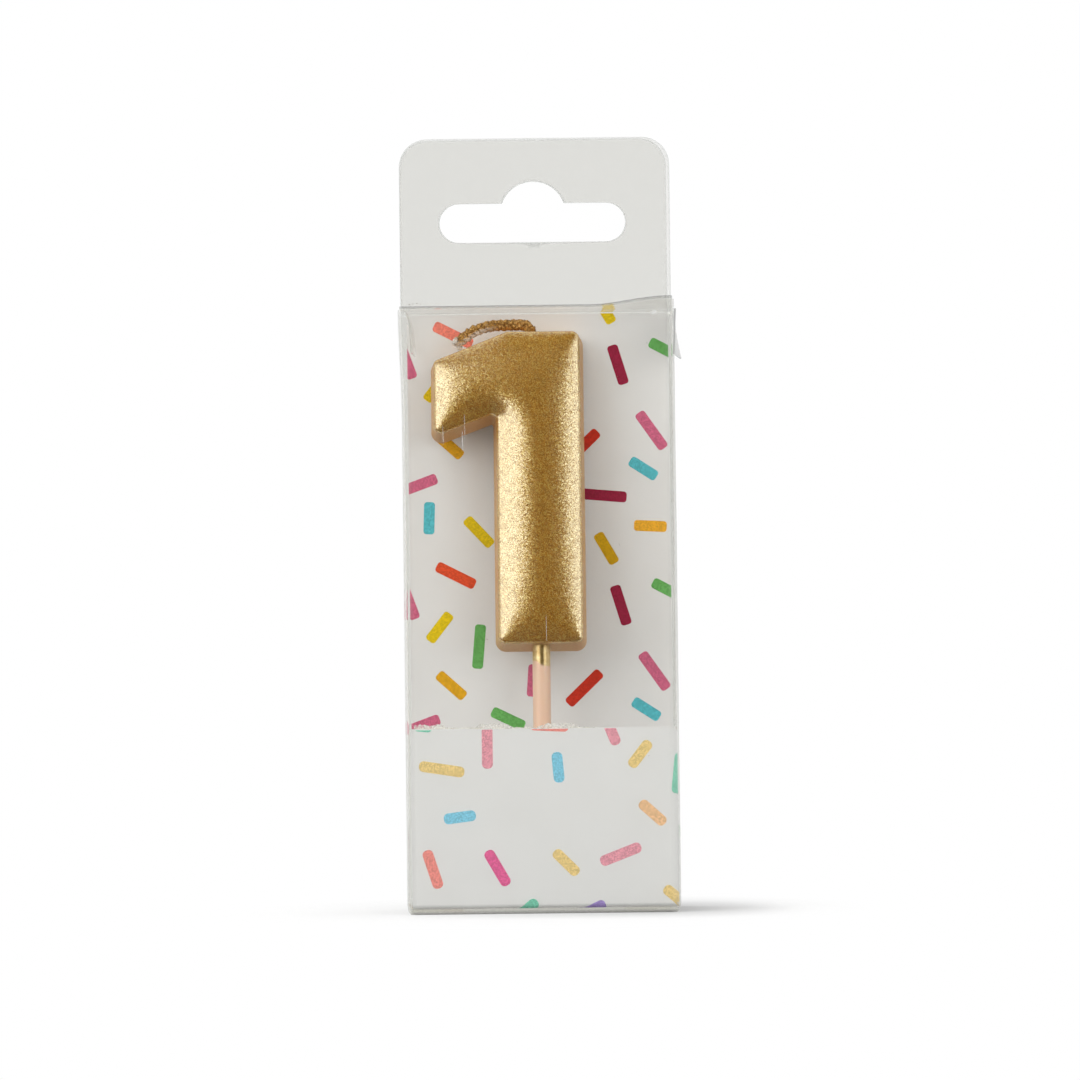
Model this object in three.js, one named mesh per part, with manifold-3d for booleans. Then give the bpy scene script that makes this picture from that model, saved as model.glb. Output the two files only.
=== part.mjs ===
// Numeral candle on a pick, in the clear hang box that it is sold in, with a folded card behind it.
// Millimetres, +Z up, the front of the box towards -Y. The origin is the middle of the base's underside.
import * as THREE from "three";
import { mergeVertices } from "three/addons/utils/BufferGeometryUtils.js";
import Module from "manifold-3d";

const wasm = await Module();
wasm.setup();

// Box, outside sizes
const boxWidth = 46.6;
const boxDepth = 20.6;
const boxHeight = 103.6;
const film = 0.3;
const creaseRadius = 0.6;
const glueLine = 0.1;
const glueFlapWidth = 9;

// Clearances: between pieces, between flat layers that lie on each other, and how far a cutter runs past a face
const clearance = 0.3;
const stackClearance = 0.15;
const overcut = 1;
const squareCorner = 0.01;

// Hang tab and its slot
const tabHeight = 30.4;
const tabCornerRadius = 4.8;
const frontLayerInset = 0.6;
const slotWidth = 32;
const slotBand = 6.6;
const slotHump = 4;
const slotHumpWidth = 10.6;
const slotRise = 12.2;
const slotShift = -0.5;

// Flaps
const leftFlapLength = 7.8;
const leftFlapDroop = THREE.MathUtils.degToRad(73);
const rightFlapLength = 9.4;
const rightFlapSplay = THREE.MathUtils.degToRad(5);
const flapCorner = 1.6;
const baseFlapLength = 9;
const baseFlapTaper = 3;
const baseFlapRearCut = 2;
const tuckLength = 6.5;
const tuckCorner = 2.5;

// Card insert, one strip folded into a J
const card = 0.35;
const cardTopDrop = 0.9;
const labelHeight = 31.5;
const frontBendRadius = 2.4;
const rearBendRadius = 2;

// Numeral, sizes of its back face, with the flag measured from the top and from the stem
const numeralHeight = 55.3;
const stemWidth = 15.7;
const flagReach = 10.75;
const flagShoulder = 2.45;
const flagDrop = 5.2;
const flagSide = 14.4;
const flagRootDrop = 15.6;
const numeralDepth = 10;
const numeralDraft = 0.72;
const faceRise = 1.8;
const faceCurve = 1.7;
const ridgeInset = 6.2;
const footRadius = 1.8;
const crownRadius = 2.1;
const flagRadius = 1.6;
const shoulderRadius = 1;
const rootRadius = 0.9;

// Pick and wick; the headroom is the space between the numeral and the lid, where the wick lies
const headroom = 3.3;
const pickDiameter = 3;
const pickTipDiameter = 0.9;
const pickTipLength = 5;
const pickSocketDepth = 12;
const wickDiameter = 1.4;
const wickFootGap = 2;
const roundSides = 24;

// Levels and faces that several pieces share
const innerHalfWidth = boxWidth / 2 - film;
const frontInner = -boxDepth / 2 + film;
const backInner = boxDepth / 2 - film;
const wallTop = boxHeight - film - clearance;
const lidUnder = boxHeight - film;
const glueFlapFace = backInner - glueLine - film;
const tuckOuter = glueFlapFace - clearance;
const cardBackOuter = tuckOuter - film - clearance;
const cardBackInner = cardBackOuter - card;
const labelOuter = frontInner + clearance;
const labelInner = labelOuter + card;
const baseFlapUnder = film + stackClearance;
const cardUnder = baseFlapUnder + film + stackClearance;
const tabFrontOuter = backInner - clearance;
const pickSeat = cardUnder + card + clearance;
const pickTipY = labelInner + clearance + pickDiameter / 2;

// The candle stands on its pick behind the label and leans back against the card, filling the box's height
const leanReach = cardBackInner - clearance - pickTipY - numeralDepth / 2;
const numeralTop = Math.hypot(lidUnder - headroom - pickSeat, leanReach);
const candleLean = Math.asin(leanReach / numeralTop);
const numeralFoot = numeralTop - numeralHeight;

const colours = {
  film: { color: 0xf4f7f8, roughness: 0.08, metalness: 0, transparent: true, opacity: 0.25 },
  glue: { color: 0xf0efe6, roughness: 0.3, metalness: 0, transparent: true, opacity: 0.6 },
  card: { color: 0xf3f0ec, roughness: 0.55, metalness: 0 },
  wax: { color: 0xc9a26a, roughness: 0.38, metalness: 0.6 },
  wick: { color: 0xb08a55, roughness: 0.7, metalness: 0.2 },
  pick: { color: 0xe9c9c6, roughness: 0.35, metalness: 0 },
};

// A material of the part's own, from one of the finishes above.
const finish = (name) => new THREE.MeshStandardMaterial(colours[name]);

// Geometry to solid and back.
function solid(geometry) {
  const plain = geometry.index ? geometry.toNonIndexed() : geometry.clone();
  plain.deleteAttribute("normal");
  plain.deleteAttribute("uv");
  const merged = mergeVertices(plain, 1e-4);
  return new wasm.Manifold(
    new wasm.Mesh({
      numProp: 3,
      vertProperties: merged.attributes.position.array,
      triVerts: new Uint32Array(merged.index.array),
    }),
  );
}

function geometryOf(shape) {
  const { vertProperties, triVerts } = shape.getMesh();
  const geometry = new THREE.BufferGeometry();
  geometry.setAttribute("position", new THREE.BufferAttribute(new Float32Array(vertProperties), 3));
  geometry.setIndex(new THREE.BufferAttribute(new Uint32Array(triVerts), 1));
  const flat = geometry.toNonIndexed();
  flat.computeVertexNormals();
  return flat;
}

function mesh(name, geometry, material) {
  const made = new THREE.Mesh(geometry, material);
  made.name = name;
  return made;
}

// Points of a closed outline whose corners [x, y, radius] are rounded with the same number of steps each.
function roundedOutline(corners, steps = 5) {
  const points = [];
  corners.forEach(([x, y, radius], i) => {
    const here = new THREE.Vector2(x, y);
    const before = corners[(i + corners.length - 1) % corners.length];
    const after = corners[(i + 1) % corners.length];
    const towardsBefore = new THREE.Vector2(before[0], before[1]).sub(here).normalize();
    const towardsAfter = new THREE.Vector2(after[0], after[1]).sub(here).normalize();
    const half = Math.acos(THREE.MathUtils.clamp(towardsBefore.dot(towardsAfter), -1, 1)) / 2;
    const cut = radius / Math.tan(half);
    const start = here.clone().addScaledVector(towardsBefore, cut);
    const end = here.clone().addScaledVector(towardsAfter, cut);
    const bisector = towardsBefore.add(towardsAfter).normalize();
    const centre = here.clone().addScaledVector(bisector, radius / Math.sin(half));
    const from = start.sub(centre);
    const to = end.sub(centre);
    const turn = Math.atan2(from.cross(to), from.dot(to));
    for (let k = 0; k <= steps; k++)
      points.push(from.clone().rotateAround(new THREE.Vector2(), (turn * k) / steps).add(centre));
  });
  return points;
}

// Corners moved inwards by a distance from every edge; rounded corners lose that much, hollow ones gain it.
function insetCorners(corners, inset) {
  const least = 0.05;
  return corners.map(([x, y, radius], i) => {
    const before = corners[(i + corners.length - 1) % corners.length];
    const after = corners[(i + 1) % corners.length];
    const inDirection = new THREE.Vector2(x - before[0], y - before[1]).normalize();
    const outDirection = new THREE.Vector2(after[0] - x, after[1] - y).normalize();
    const inNormal = new THREE.Vector2(-inDirection.y, inDirection.x);
    const outNormal = new THREE.Vector2(-outDirection.y, outDirection.x);
    const scale = inset / (1 + inNormal.dot(outNormal));
    const hollow = inDirection.cross(outDirection) < 0;
    const turned = hollow ? radius + inset : Math.max(radius - inset, least);
    return [x + (inNormal.x + outNormal.x) * scale, y + (inNormal.y + outNormal.y) * scale, turned];
  });
}

// A film or card strip of one thickness: the centre line's points are offset by half of it to both sides.
function stripOutline(centreLine, thickness) {
  const side = (sign) =>
    centreLine.map((point, i) => {
      const before = centreLine[Math.max(i - 1, 0)];
      const after = centreLine[Math.min(i + 1, centreLine.length - 1)];
      const a = point.clone().sub(before).normalize();
      const b = after.clone().sub(point).normalize();
      if (i === 0) a.copy(b);
      if (i === centreLine.length - 1) b.copy(a);
      const normal = new THREE.Vector2(-(a.y + b.y), a.x + b.x);
      return point.clone().addScaledVector(normal, (sign * thickness) / (1 + a.dot(b)));
    });
  return [...side(0.5), ...side(-0.5).reverse()];
}

// An open line through corners [x, y, radius], each rounded by an arc.
function roundedLine(corners, steps = 5) {
  const first = corners[0];
  const last = corners[corners.length - 1];
  const points = [new THREE.Vector2(first[0], first[1])];
  for (let i = 1; i < corners.length - 1; i++) {
    const [x, y, radius] = corners[i];
    const here = new THREE.Vector2(x, y);
    const towardsBefore = new THREE.Vector2(corners[i - 1][0] - x, corners[i - 1][1] - y).normalize();
    const towardsAfter = new THREE.Vector2(corners[i + 1][0] - x, corners[i + 1][1] - y).normalize();
    const half = Math.acos(towardsBefore.dot(towardsAfter)) / 2;
    const centre = here
      .clone()
      .addScaledVector(towardsBefore.clone().add(towardsAfter).normalize(), radius / Math.sin(half));
    const from = here.clone().addScaledVector(towardsBefore, radius / Math.tan(half)).sub(centre);
    const to = here.clone().addScaledVector(towardsAfter, radius / Math.tan(half)).sub(centre);
    const turn = Math.atan2(from.cross(to), from.dot(to));
    for (let k = 0; k <= steps; k++)
      points.push(from.clone().rotateAround(new THREE.Vector2(), (turn * k) / steps).add(centre));
  }
  points.push(new THREE.Vector2(last[0], last[1]));
  return points;
}

// Extrusions with the outline seen from above (up Z), from the front (back along Y) or from the right (along X).
function extrude(points, length, holes = []) {
  const shape = new THREE.Shape(points);
  shape.holes.push(...holes.map((hole) => new THREE.Path(hole)));
  return new THREE.ExtrudeGeometry(shape, { depth: length, bevelEnabled: false, steps: 1 });
}

const prismUp = (points, z0, z1) => extrude(points, z1 - z0).translate(0, 0, z0);

const prismBack = (points, y0, y1, holes) =>
  extrude(points, y1 - y0, holes).rotateX(Math.PI / 2).translate(0, y1, 0);

const prismAcross = (points, x0, x1) =>
  extrude(points, x1 - x0).rotateZ(Math.PI / 2).rotateY(Math.PI / 2).translate(x0, 0, 0);

const rectangle = (x0, x1, y0, y1) => [
  new THREE.Vector2(x0, y0),
  new THREE.Vector2(x1, y0),
  new THREE.Vector2(x1, y1),
  new THREE.Vector2(x0, y1),
];

// A flat film plate lying along +X from the hinge, its far corners cut by a length and a width on each side.
function flapPlate(length, y0, y1, cutLength, cutFront, cutRear) {
  const root = clearance / 2;
  const outline = [
    new THREE.Vector2(root, y0),
    new THREE.Vector2(length - cutLength, y0),
    new THREE.Vector2(length, y0 + cutFront),
    new THREE.Vector2(length, y1 - cutRear),
    new THREE.Vector2(length - cutLength, y1),
    new THREE.Vector2(root, y1),
  ];
  return prismUp(outline, -film / 2, film / 2);
}

// Euro slot: a long slot with round ends and a hump in the middle of its upper edge.
function slotOutline(x, z) {
  const end = slotBand / 2;
  const reach = slotWidth / 2 - end;
  const humpRadius = (slotHumpWidth ** 2 / 4 + slotHump ** 2) / (2 * slotHump);
  const humpCentre = z + slotBand + slotHump - humpRadius;
  const humpStart = Math.asin((z + slotBand - humpCentre) / humpRadius);
  const path = new THREE.Path();
  path.absarc(x + reach, z + end, end, -Math.PI / 2, Math.PI / 2, false);
  path.absarc(x, humpCentre, humpRadius, humpStart, Math.PI - humpStart, false);
  path.absarc(x - reach, z + end, end, Math.PI / 2, (Math.PI * 3) / 2, false);
  return path.getPoints(8);
}

// Tab sheet, seen from the front, with two round upper corners.
const tabOutline = (x0, x1, z0, z1) =>
  roundedOutline([
    [x0, z0, squareCorner],
    [x1, z0, squareCorner],
    [x1, z1, tabCornerRadius],
    [x0, z1, tabCornerRadius],
  ]);

const slotFoot = boxHeight + slotRise;
const tabTop = boxHeight + tabHeight;

// Sleeve: glue flap, left wall, front, right wall and back in one strip; the back runs on up as the rear tab layer.
function sleeve() {
  const middle = film / 2;
  const bend = creaseRadius - middle;
  const side = boxWidth / 2 - middle;
  const face = boxDepth / 2 - middle;
  const wallLine = roundedLine([
    [-boxWidth / 2 + glueFlapWidth, glueFlapFace + middle],
    [-side, glueFlapFace + middle, bend],
    [-side, -face, bend],
    [side, -face, bend],
    [side, face, bend],
    [-boxWidth / 2, face],
  ]);
  const walls = solid(prismUp(stripOutline(wallLine, film), 0, wallTop));
  const overlap = film;
  const tab = solid(
    prismBack(
      tabOutline(-boxWidth / 2, boxWidth / 2, wallTop - overlap, tabTop),
      backInner,
      backInner + film,
      [slotOutline(slotShift, slotFoot)],
    ),
  );
  return mesh("film_sleeve", geometryOf(walls.add(tab)), finish("film"));
}

// Line of adhesive between the glue flap and the back.
function glueSeam() {
  const edge = clearance + creaseRadius;
  const outline = rectangle(
    -boxWidth / 2 + edge,
    -boxWidth / 2 + glueFlapWidth - edge,
    backInner - glueLine,
    backInner,
  );
  return mesh("glue_seam", prismUp(outline, edge, wallTop - edge), finish("glue"));
}

const lidHalfWidth = boxWidth / 2 - clearance;

function lidPanel() {
  const outline = rectangle(-lidHalfWidth, lidHalfWidth, -boxDepth / 2, tabFrontOuter);
  return mesh("lid_panel", prismUp(outline, lidUnder, boxHeight), finish("film"));
}

// Front layer of the hang tab, a little smaller than the rear one.
function frontTabLayer() {
  const outline = tabOutline(
    -boxWidth / 2,
    boxWidth / 2 - frontLayerInset,
    boxHeight + clearance,
    tabTop - clearance,
  );
  const sheet = prismBack(outline, tabFrontOuter - film, tabFrontOuter, [
    slotOutline(slotShift, slotFoot),
  ]);
  return mesh("front_tab_layer", sheet, finish("film"));
}

// Dust flap on the left wall's top, hanging down inside the box.
function leftDustFlap() {
  const plate = flapPlate(
    leftFlapLength,
    frontInner + clearance,
    cardBackInner - clearance,
    flapCorner,
    flapCorner,
    flapCorner,
  );
  const made = mesh("top_dust_flap_left", plate, finish("film"));
  made.position.set(-innerHalfWidth + clearance + film / 2, 0, wallTop - film / 2);
  made.rotation.y = leftFlapDroop;
  return made;
}

// Dust flap on the right wall's top, left outside and lying down against the wall.
function rightDustFlap() {
  const halfSpan = boxDepth / 2 - film - clearance;
  const plate = flapPlate(rightFlapLength, -halfSpan, halfSpan, flapCorner, flapCorner, flapCorner);
  const made = mesh("top_dust_flap_right", plate, finish("film"));
  made.position.set(boxWidth / 2 + stackClearance + film / 2, 0, wallTop);
  made.rotation.y = Math.PI / 2 - rightFlapSplay;
  return made;
}

const basePanelHalfWidth = innerHalfWidth - clearance;

function bottomPanel() {
  const outline = rectangle(
    -basePanelHalfWidth,
    basePanelHalfWidth,
    frontInner + clearance,
    tuckOuter,
  );
  return mesh("bottom_panel", prismUp(outline, 0, film), finish("film"));
}

// Tuck flap on the bottom panel's rear edge, standing between the back and the card.
function bottomTuckFlap() {
  const foot = film + clearance;
  const half = basePanelHalfWidth - clearance;
  const outline = roundedOutline([
    [-half, foot, squareCorner],
    [half, foot, squareCorner],
    [half, foot + tuckLength, tuckCorner],
    [-half, foot + tuckLength, tuckCorner],
  ]);
  return mesh("bottom_tuck_flap", prismBack(outline, tuckOuter - film, tuckOuter), finish("film"));
}

// Bottom dust flaps lie on the bottom panel and carry the card. The right one is the left one turned round.
function bottomDustFlap(name, side) {
  const front = frontInner + clearance;
  const rear = cardBackOuter - baseFlapRearCut;
  const cut = baseFlapLength - clearance;
  const plate = flapPlate(
    baseFlapLength,
    side < 0 ? front : -rear,
    side < 0 ? rear : -front,
    cut,
    baseFlapTaper,
    baseFlapTaper,
  );
  const made = mesh(name, plate, finish("film"));
  made.position.set(side * (innerHalfWidth - clearance / 2), 0, baseFlapUnder + film / 2);
  made.rotation.z = side < 0 ? 0 : Math.PI;
  return made;
}

// Card insert: back, base and front label in one strip folded into a J.
function cardInsert() {
  const middle = card / 2;
  const line = roundedLine([
    [cardBackInner + middle, wallTop - cardTopDrop],
    [cardBackInner + middle, cardUnder + middle, rearBendRadius - middle],
    [labelOuter + middle, cardUnder + middle, frontBendRadius - middle],
    [labelOuter + middle, labelHeight],
  ]);
  const half = innerHalfWidth - clearance;
  return mesh("card_insert", prismAcross(stripOutline(line, card), -half, half), finish("card"));
}

// Corners of the numeral's back face, anticlockwise from the foot's left end as seen from the front.
const numeralCorners = [
  [-stemWidth / 2, numeralFoot, footRadius],
  [stemWidth / 2, numeralFoot, footRadius],
  [stemWidth / 2, numeralTop, crownRadius],
  [flagShoulder - stemWidth / 2, numeralTop, shoulderRadius],
  [-stemWidth / 2 - flagReach, numeralTop - flagDrop, flagRadius],
  [-stemWidth / 2 - flagReach, numeralTop - flagDrop - flagSide, flagRadius],
  [-stemWidth / 2, numeralTop - flagRootDrop, rootRadius],
];

// Closed body through outlines of equal count, each a list of [x, z] at a depth y, from the back to the front.
function loftForward(rings) {
  const count = rings[0].points.length;
  const positions = rings.flatMap(({ points, y }) => points.flatMap((p) => [p.x, y, p.y]));
  const index = [];
  for (let r = 0; r + 1 < rings.length; r++)
    for (let i = 0; i < count; i++) {
      const a = r * count + i;
      const b = r * count + ((i + 1) % count);
      index.push(a, b, b + count, a, b + count, a + count);
    }
  const cap = (ring) => THREE.ShapeUtils.triangulateShape(rings[ring].points, []);
  const last = rings.length - 1;
  for (const [i, j, k] of cap(0)) index.push(k, j, i);
  for (const [i, j, k] of cap(last)) index.push(last * count + i, last * count + j, last * count + k);
  const geometry = new THREE.BufferGeometry();
  geometry.setAttribute("position", new THREE.Float32BufferAttribute(positions, 3));
  geometry.setIndex(index);
  return geometry;
}

// Route of the wick, up the middle of the wax, out at the top and over to the left, measured from the top.
const wickRoute = [
  [-0.2, pickSocketDepth + wickFootGap - numeralHeight],
  [-0.5, -24],
  [-0.9, -6],
  [-1.2, -0.6],
  [-1.6, 0.65],
  [-2.9, 1.2],
  [-5.4, 1.1],
  [-8.2, 0.9],
  [-10.6, 0.15],
  [-12.3, -0.85],
  [-13.6, -1.9],
  [-14.1, -2.3],
];

function tubeAlong(route, diameter, steps, sides) {
  const curve = new THREE.CatmullRomCurve3(
    route.map(([x, z]) => new THREE.Vector3(x, 0, numeralTop + z)),
    false,
    "centripetal",
  );
  const section = new THREE.Shape();
  for (let i = 0; i < sides; i++) {
    const angle = (2 * Math.PI * i) / sides;
    const x = (diameter / 2) * Math.cos(angle);
    const y = (diameter / 2) * Math.sin(angle);
    if (i === 0) section.moveTo(x, y);
    else section.lineTo(x, y);
  }
  return new THREE.ExtrudeGeometry(section, { steps, extrudePath: curve, bevelEnabled: false });
}

// Numeral: a flat back, drafted walls and a front that rises in a curve to a ridge, bored for wick and pick.
// At a share u of the way from edge to ridge, the front stands faceRise * (1 - (1 - u) ^ faceCurve) proud.
function numeral() {
  const level = (inset, y) => ({ points: roundedOutline(insetCorners(numeralCorners, inset), 4), y });
  const back = numeralDepth / 2;
  const rings = [level(0, back)];
  const steps = 5;
  for (let i = 0; i <= steps; i++) {
    const share = (i / steps) ** 1.5;
    const rise = faceRise * (1 - (1 - share) ** faceCurve);
    rings.push(level(numeralDraft + (ridgeInset - numeralDraft) * share, -back + faceRise - rise));
  }
  const body = loftForward(rings);
  const buried = wickRoute.slice(0, wickRoute.findIndex(([, z]) => z > 0));
  const [footX, footZ] = buried[0];
  const [exitX] = buried[buried.length - 1];
  const boreRoute = [[footX, footZ - clearance], ...buried.slice(1), [exitX - clearance, overcut]];
  const bore = tubeAlong(boreRoute, wickDiameter + 2 * clearance, 12, 12);
  const socketRadius = pickDiameter / 2 + clearance;
  const socketDepth = pickSocketDepth + clearance + overcut;
  const socket = new THREE.CylinderGeometry(socketRadius, socketRadius, socketDepth, roundSides)
    .rotateX(Math.PI / 2)
    .translate(0, 0, numeralFoot - overcut + socketDepth / 2);
  const cut = solid(body).subtract(solid(bore)).subtract(solid(socket));
  return mesh("numeral_one", geometryOf(cut), finish("wax"));
}

const wick = () => mesh("wick", tubeAlong(wickRoute, wickDiameter, 72, 8), finish("wick"));

// Pick: a round moulded stick with a tapered point, its head set in the numeral's foot.
function pick() {
  const top = numeralFoot + pickSocketDepth;
  const radius = pickDiameter / 2;
  const edge = clearance;
  const profile = [
    [0, 0],
    [pickTipDiameter / 2, 0],
    [radius, pickTipLength],
    [radius, top - edge],
    [radius - edge, top],
    [0, top],
  ].map(([x, y]) => new THREE.Vector2(x, y));
  return mesh("pick", new THREE.LatheGeometry(profile, roundSides).rotateX(Math.PI / 2), finish("pick"));
}

// Candle, its pieces drawn with the pick's point at the origin and the pick upright, then leant back.
function candle() {
  const group = new THREE.Group();
  group.add(numeral(), wick(), pick());
  group.position.set(0, pickTipY, pickSeat);
  group.rotation.x = -candleLean;
  return group;
}

const box = new THREE.Group();
box.add(
  sleeve(),
  glueSeam(),
  lidPanel(),
  frontTabLayer(),
  leftDustFlap(),
  rightDustFlap(),
  bottomPanel(),
  bottomTuckFlap(),
  bottomDustFlap("bottom_dust_flap_left", -1),
  bottomDustFlap("bottom_dust_flap_right", 1),
);

const packedCandle = new THREE.Group();
packedCandle.add(box, cardInsert(), candle());

export default packedCandle;
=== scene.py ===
# A gold number candle on its pick, in the clear hang box with the sprinkle card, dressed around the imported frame.
import math
import bpy
import numpy as np
from mathutils import Matrix, Vector
from mathutils.geometry import delaunay_2d_cdt


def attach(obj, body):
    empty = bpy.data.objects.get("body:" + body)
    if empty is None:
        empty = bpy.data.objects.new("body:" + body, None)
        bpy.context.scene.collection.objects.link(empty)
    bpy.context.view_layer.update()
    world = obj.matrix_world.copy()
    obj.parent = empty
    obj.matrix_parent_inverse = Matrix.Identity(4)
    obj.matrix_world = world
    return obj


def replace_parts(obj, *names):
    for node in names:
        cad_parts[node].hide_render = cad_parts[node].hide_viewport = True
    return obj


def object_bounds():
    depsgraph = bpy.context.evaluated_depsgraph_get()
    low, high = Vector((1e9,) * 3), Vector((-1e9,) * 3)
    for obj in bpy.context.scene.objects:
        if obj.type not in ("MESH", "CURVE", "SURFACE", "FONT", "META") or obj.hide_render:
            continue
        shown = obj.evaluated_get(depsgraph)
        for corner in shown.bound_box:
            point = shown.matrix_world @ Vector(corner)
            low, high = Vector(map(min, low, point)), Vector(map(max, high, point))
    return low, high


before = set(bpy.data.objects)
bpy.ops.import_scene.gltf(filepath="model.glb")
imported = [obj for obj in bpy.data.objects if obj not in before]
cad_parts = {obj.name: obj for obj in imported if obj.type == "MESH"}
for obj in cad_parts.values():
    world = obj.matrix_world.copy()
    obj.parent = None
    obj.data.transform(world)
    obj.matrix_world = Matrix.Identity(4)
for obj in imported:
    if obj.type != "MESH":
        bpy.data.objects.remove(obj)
cadLow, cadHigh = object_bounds()
mm = 0.001
scene = bpy.context.scene


# Colours and nodes
def linear(hexColour):
    # sRGB to linear: below 0.04045 it is c / 12.92, above it is ((c + 0.055) / 1.055) ^ 2.4
    channels = [int(hexColour[i:i + 2], 16) / 255 for i in (1, 3, 5)]
    return tuple(c / 12.92 if c <= 0.04045 else ((c + 0.055) / 1.055) ** 2.4 for c in channels) + (1.0,)


def addNode(tree, kind, settings=None, links=None):
    node = tree.nodes.new(kind)
    for name, value in (settings or {}).items():
        if isinstance(name, int) or name in node.inputs:
            node.inputs[name].default_value = value
        else:
            setattr(node, name, value)
    for name, source in (links or {}).items():
        tree.links.new(source, node.inputs[name])
    return node


def newMaterial(name):
    material = bpy.data.materials.new(name)
    material.use_nodes = True
    material.node_tree.nodes.clear()
    return material, material.node_tree


def finishMaterial(tree, shader):
    addNode(tree, "ShaderNodeOutputMaterial", links={"Surface": shader})


def objectSpace(tree):
    return addNode(tree, "ShaderNodeTexCoord").outputs["Object"]


# Mesh helpers
def meshPiece(name, points, faces, materials, body, faceSlots=None, sharpAngle=40, attributes=None):
    mesh = bpy.data.meshes.new(name)
    mesh.from_pydata((np.asarray(points, float) * mm).tolist(), [], [list(f) for f in faces])
    for material in materials:
        mesh.materials.append(material)
    mesh.polygons.foreach_set("use_smooth", [True] * len(mesh.polygons))
    if faceSlots is not None:
        mesh.polygons.foreach_set("material_index", [int(i) for i in faceSlots])
    for key, values in (attributes or {}).items():
        mesh.attributes.new(key, "FLOAT", "POINT").data.foreach_set("value", np.asarray(values, float).ravel())
    mesh.update()
    mesh.set_sharp_from_angle(angle=math.radians(sharpAngle))
    piece = bpy.data.objects.new(name, mesh)
    scene.collection.objects.link(piece)
    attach(piece, body)
    return piece


def gridFaces(index, wrap=False, flip=False):
    # Each quad joins a point, the next row's, the next row's next and the next one in its own row
    if wrap:
        index = np.vstack([index, index[:1]])
    quads = np.stack([index[:-1, :-1], index[1:, :-1], index[1:, 1:], index[:-1, 1:]], -1).reshape(-1, 4)
    return quads[:, ::-1] if flip else quads


def gridNormals(grid, wrap=False):
    # The normal is the cross product of the steps along the rows and along the columns
    along = np.roll(grid, -1, 0) - np.roll(grid, 1, 0) if wrap else np.gradient(grid, axis=0)
    normals = np.cross(along, np.gradient(grid, axis=1))
    return normals / np.maximum(np.linalg.norm(normals, axis=2, keepdims=True), 1e-12)


def sheetShell(grid, thickness, wrap=False):
    # A sheet's two faces lie half its thickness to either side of its middle surface; strips close its edges
    rows, cols = grid.shape[:2]
    offset = gridNormals(grid, wrap) * thickness / 2
    points = np.concatenate([(grid + offset).reshape(-1, 3), (grid - offset).reshape(-1, 3)])
    outer = np.arange(rows * cols).reshape(rows, cols)
    inner = outer + rows * cols
    faces = [gridFaces(outer, wrap), gridFaces(inner, wrap, flip=True)]
    faces.append(gridFaces(np.stack([outer[:, 0], inner[:, 0]], 1), wrap, flip=True)[:, ::-1])
    faces.append(gridFaces(np.stack([outer[:, -1], inner[:, -1]], 1), wrap, flip=True))
    if not wrap:
        faces.append(gridFaces(np.stack([outer[0], inner[0]], 1), flip=True))
        faces.append(gridFaces(np.stack([outer[-1], inner[-1]], 1)))
    rims = sum(len(f) for f in faces[2:])
    return points, np.concatenate(faces), len(faces[0]) * 2, rims


def smoothStep(value, low, high):
    # 3 t^2 - 2 t^3, with t going from 0 at low to 1 at high
    t = np.clip((value - low) / (high - low), 0, 1)
    return t * t * (3 - 2 * t)


def roundedLine(corners, closed=False, angleStep=6.0, lineStep=1.0):
    # Corners are (x, y, radius); each becomes an arc tangent to both edges, and long edges are cut into steps
    corners = [tuple(c) + (0.0,) * (3 - len(c)) for c in corners]
    count = len(corners)
    points = []
    for i, (x, y, radius) in enumerate(corners):
        here = np.array([x, y])
        if not closed and i in (0, count - 1) or radius <= 0:
            points.append(here[None])
            continue
        before = np.array(corners[i - 1][:2]) - here
        after = np.array(corners[(i + 1) % count][:2]) - here
        before, after = before / np.linalg.norm(before), after / np.linalg.norm(after)
        half = math.acos(np.clip(before @ after, -1, 1)) / 2
        middle = here + (before + after) / np.linalg.norm(before + after) * radius / math.sin(half)
        start = here + before * radius / math.tan(half) - middle
        end = here + after * radius / math.tan(half) - middle
        turn = math.atan2(start[0] * end[1] - start[1] * end[0], start @ end)
        angles = np.linspace(0, turn, max(2, int(abs(math.degrees(turn)) / angleStep) + 2))
        c, s = np.cos(angles), np.sin(angles)
        points.append(middle + np.stack([start[0] * c - start[1] * s, start[0] * s + start[1] * c], 1))
    line = np.concatenate(points)
    ends = np.vstack([line[1:], line[:1]]) if closed else line[1:]
    cut = []
    for a, b in zip(line[:len(ends)], ends):
        steps = max(1, int(np.ceil(np.linalg.norm(b - a) / lineStep)))
        cut.append(a + (b - a) * (np.arange(steps) / steps)[:, None])
    if not closed:
        cut.append(line[-1:])
    return np.concatenate(cut)


def resample(line, count):
    # Points evenly spaced by length along an open line
    lengths = np.concatenate([[0], np.cumsum(np.linalg.norm(np.diff(line, axis=0), axis=1))])
    wanted = np.linspace(0, lengths[-1], count)
    return np.stack([np.interp(wanted, lengths, line[:, k]) for k in range(line.shape[1])], 1)


# Stage: the camera stands level in front, tips up a little and leans, as the photograph does
view = {"distance": 900, "height": 45, "lens": 176.3, "tip": 1.178, "lean": 0.69}
front = cadLow.y / mm
cameraData = bpy.data.cameras.new("camera")
cameraData.lens = view["lens"]
cameraData.sensor_width = 36
cameraData.clip_start = 0.01
camera = bpy.data.objects.new("camera", cameraData)
scene.collection.objects.link(camera)
camera.matrix_world = (
    Matrix.Translation(Vector((0, front - view["distance"], view["height"])) * mm)
    @ Matrix.Rotation(math.radians(90 + view["tip"]), 4, "X")
    @ Matrix.Rotation(math.radians(-view["lean"]), 4, "Z")
)
scene.camera = camera
scene.view_settings.view_transform = "Standard"
scene.cycles.transparent_max_bounces = 32


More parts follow.
